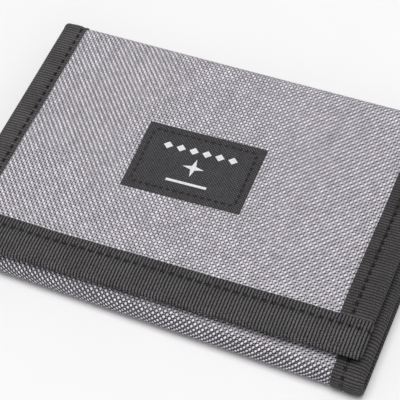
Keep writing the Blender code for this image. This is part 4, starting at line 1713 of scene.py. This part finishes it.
def rounded_copy(name, node, body, width):
    """A CAD piece's shape with its corners rounded, as cast metal has."""
    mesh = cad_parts[node].data.copy()
    bm = bmesh.new()
    bm.from_mesh(mesh)
    bmesh.ops.remove_doubles(bm, verts=bm.verts, dist=1e-6)
    bmesh.ops.dissolve_limit(bm, angle_limit=radians(1), verts=bm.verts, edges=bm.edges)
    bm.to_mesh(mesh)
    bm.free()
    piece = bpy.data.objects.new(name, mesh)
    bpy.context.scene.collection.objects.link(piece)
    round_off = piece.modifiers.new("round", "BEVEL")
    round_off.width = width
    round_off.segments = 3
    round_off.limit_method = "ANGLE"
    bpy.context.view_layer.update()
    evaluated = piece.evaluated_get(bpy.context.evaluated_depsgraph_get())
    rounded = bpy.data.meshes.new_from_object(evaluated)
    bpy.data.objects.remove(piece, do_unlink=True)
    rounded.name = name
    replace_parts(hold(link_mesh(name, rounded, "metal"), body), node)


def add_zip_metal():
    for name, node, body, radius in (
        ("zip_slider_body", "zip_slider", "zip_slider", 0.1 * MM),
        ("zip_pull_tab", "zip_pull", "zip_pull", 0.12 * MM),
        ("zip_end_left", "zip_stop_left", "inner", 0.2 * MM),
        ("zip_end_right", "zip_stop_right", "inner", 0.2 * MM),
    ):
        rounded_copy(name, node, body, radius)


# ---------------------------------------------------------------- the studio

ROOM_WHITE = (1.0, 0.99, 1.0, 1)


def add_floor():
    bpy.ops.mesh.primitive_plane_add(size=6, location=(0, 0, -0.2 * MM))
    floor = bpy.context.object
    floor.name = "table"
    floor.data.materials.append(MATERIALS["table"])


def add_soft_sun(name, direction, gap_spread_and_shade, strength):
    """Even light from one direction, as from a large window or ceiling."""
    data = bpy.data.lights.new(name, "SUN")
    data.angle = gap_spread_and_shade
    data.energy = strength
    light = bpy.data.objects.new(name, data)
    bpy.context.scene.collection.objects.link(light)
    light.rotation_euler = Vector(direction).to_track_quat("Z", "Y").to_euler()


def add_world():
    """A white room: it lights softly, and shows nearly white behind the table."""
    world = bpy.data.worlds.new("soft_white_room")
    world.use_nodes = True
    tree = world.node_tree
    lighting = tree.nodes["Background"]
    lighting.inputs["Color"].default_value = ROOM_WHITE
    lighting.inputs["Strength"].default_value = 0.3
    shown = tree.nodes.new("ShaderNodeBackground")
    shown.inputs["Color"].default_value = ROOM_WHITE
    shown.inputs["Strength"].default_value = 0.92
    rays = tree.nodes.new("ShaderNodeLightPath")
    mix = tree.nodes.new("ShaderNodeMixShader")
    tree.links.new(rays.outputs["Is Camera Ray"], mix.inputs[0])
    tree.links.new(lighting.outputs[0], mix.inputs[1])
    tree.links.new(shown.outputs[0], mix.inputs[2])
    tree.links.new(mix.outputs[0], tree.nodes["World Output"].inputs["Surface"])
    bpy.context.scene.world = world


def add_lights():
    add_world()
    add_soft_sun("key", (0.0, -0.08, 1.0), radians(38), 2.22)
    add_soft_sun("fill", (0.5, -0.6, 0.32), radians(45), 0.42)
    bpy.context.scene.view_settings.view_transform = "Standard"


def add_camera():
    data = bpy.data.cameras.new("camera")
    data.lens = 150
    data.sensor_width = 36
    camera = bpy.data.objects.new("camera", data)
    bpy.context.scene.collection.objects.link(camera)
    turn = (
        Matrix.Rotation(CAMERA_AZIMUTH, 4, "Z")
        @ Matrix.Rotation(pi / 2 - CAMERA_ELEVATION, 4, "X")
        @ Matrix.Rotation(CAMERA_ROLL, 4, "Z")
    )
    back = Matrix.Translation((0, 0, CAMERA_DISTANCE))
    camera.matrix_world = Matrix.Translation(CAMERA_TARGET) @ turn @ back
    bpy.context.scene.camera = camera


cloths = add_cloths()
linings = add_linings()
add_side_tapes()
add_flap_edge_tape()
add_inner_edge_tape()
add_label()
add_label_print()
add_hems()
pockets = add_card_pockets()
window = add_card_window()
add_closure()
coin = add_coin_pocket()
add_zip_metal()
bpy.context.view_layer.update()
add_floor()
add_lights()
add_camera()
bpy.context.view_layer.update()
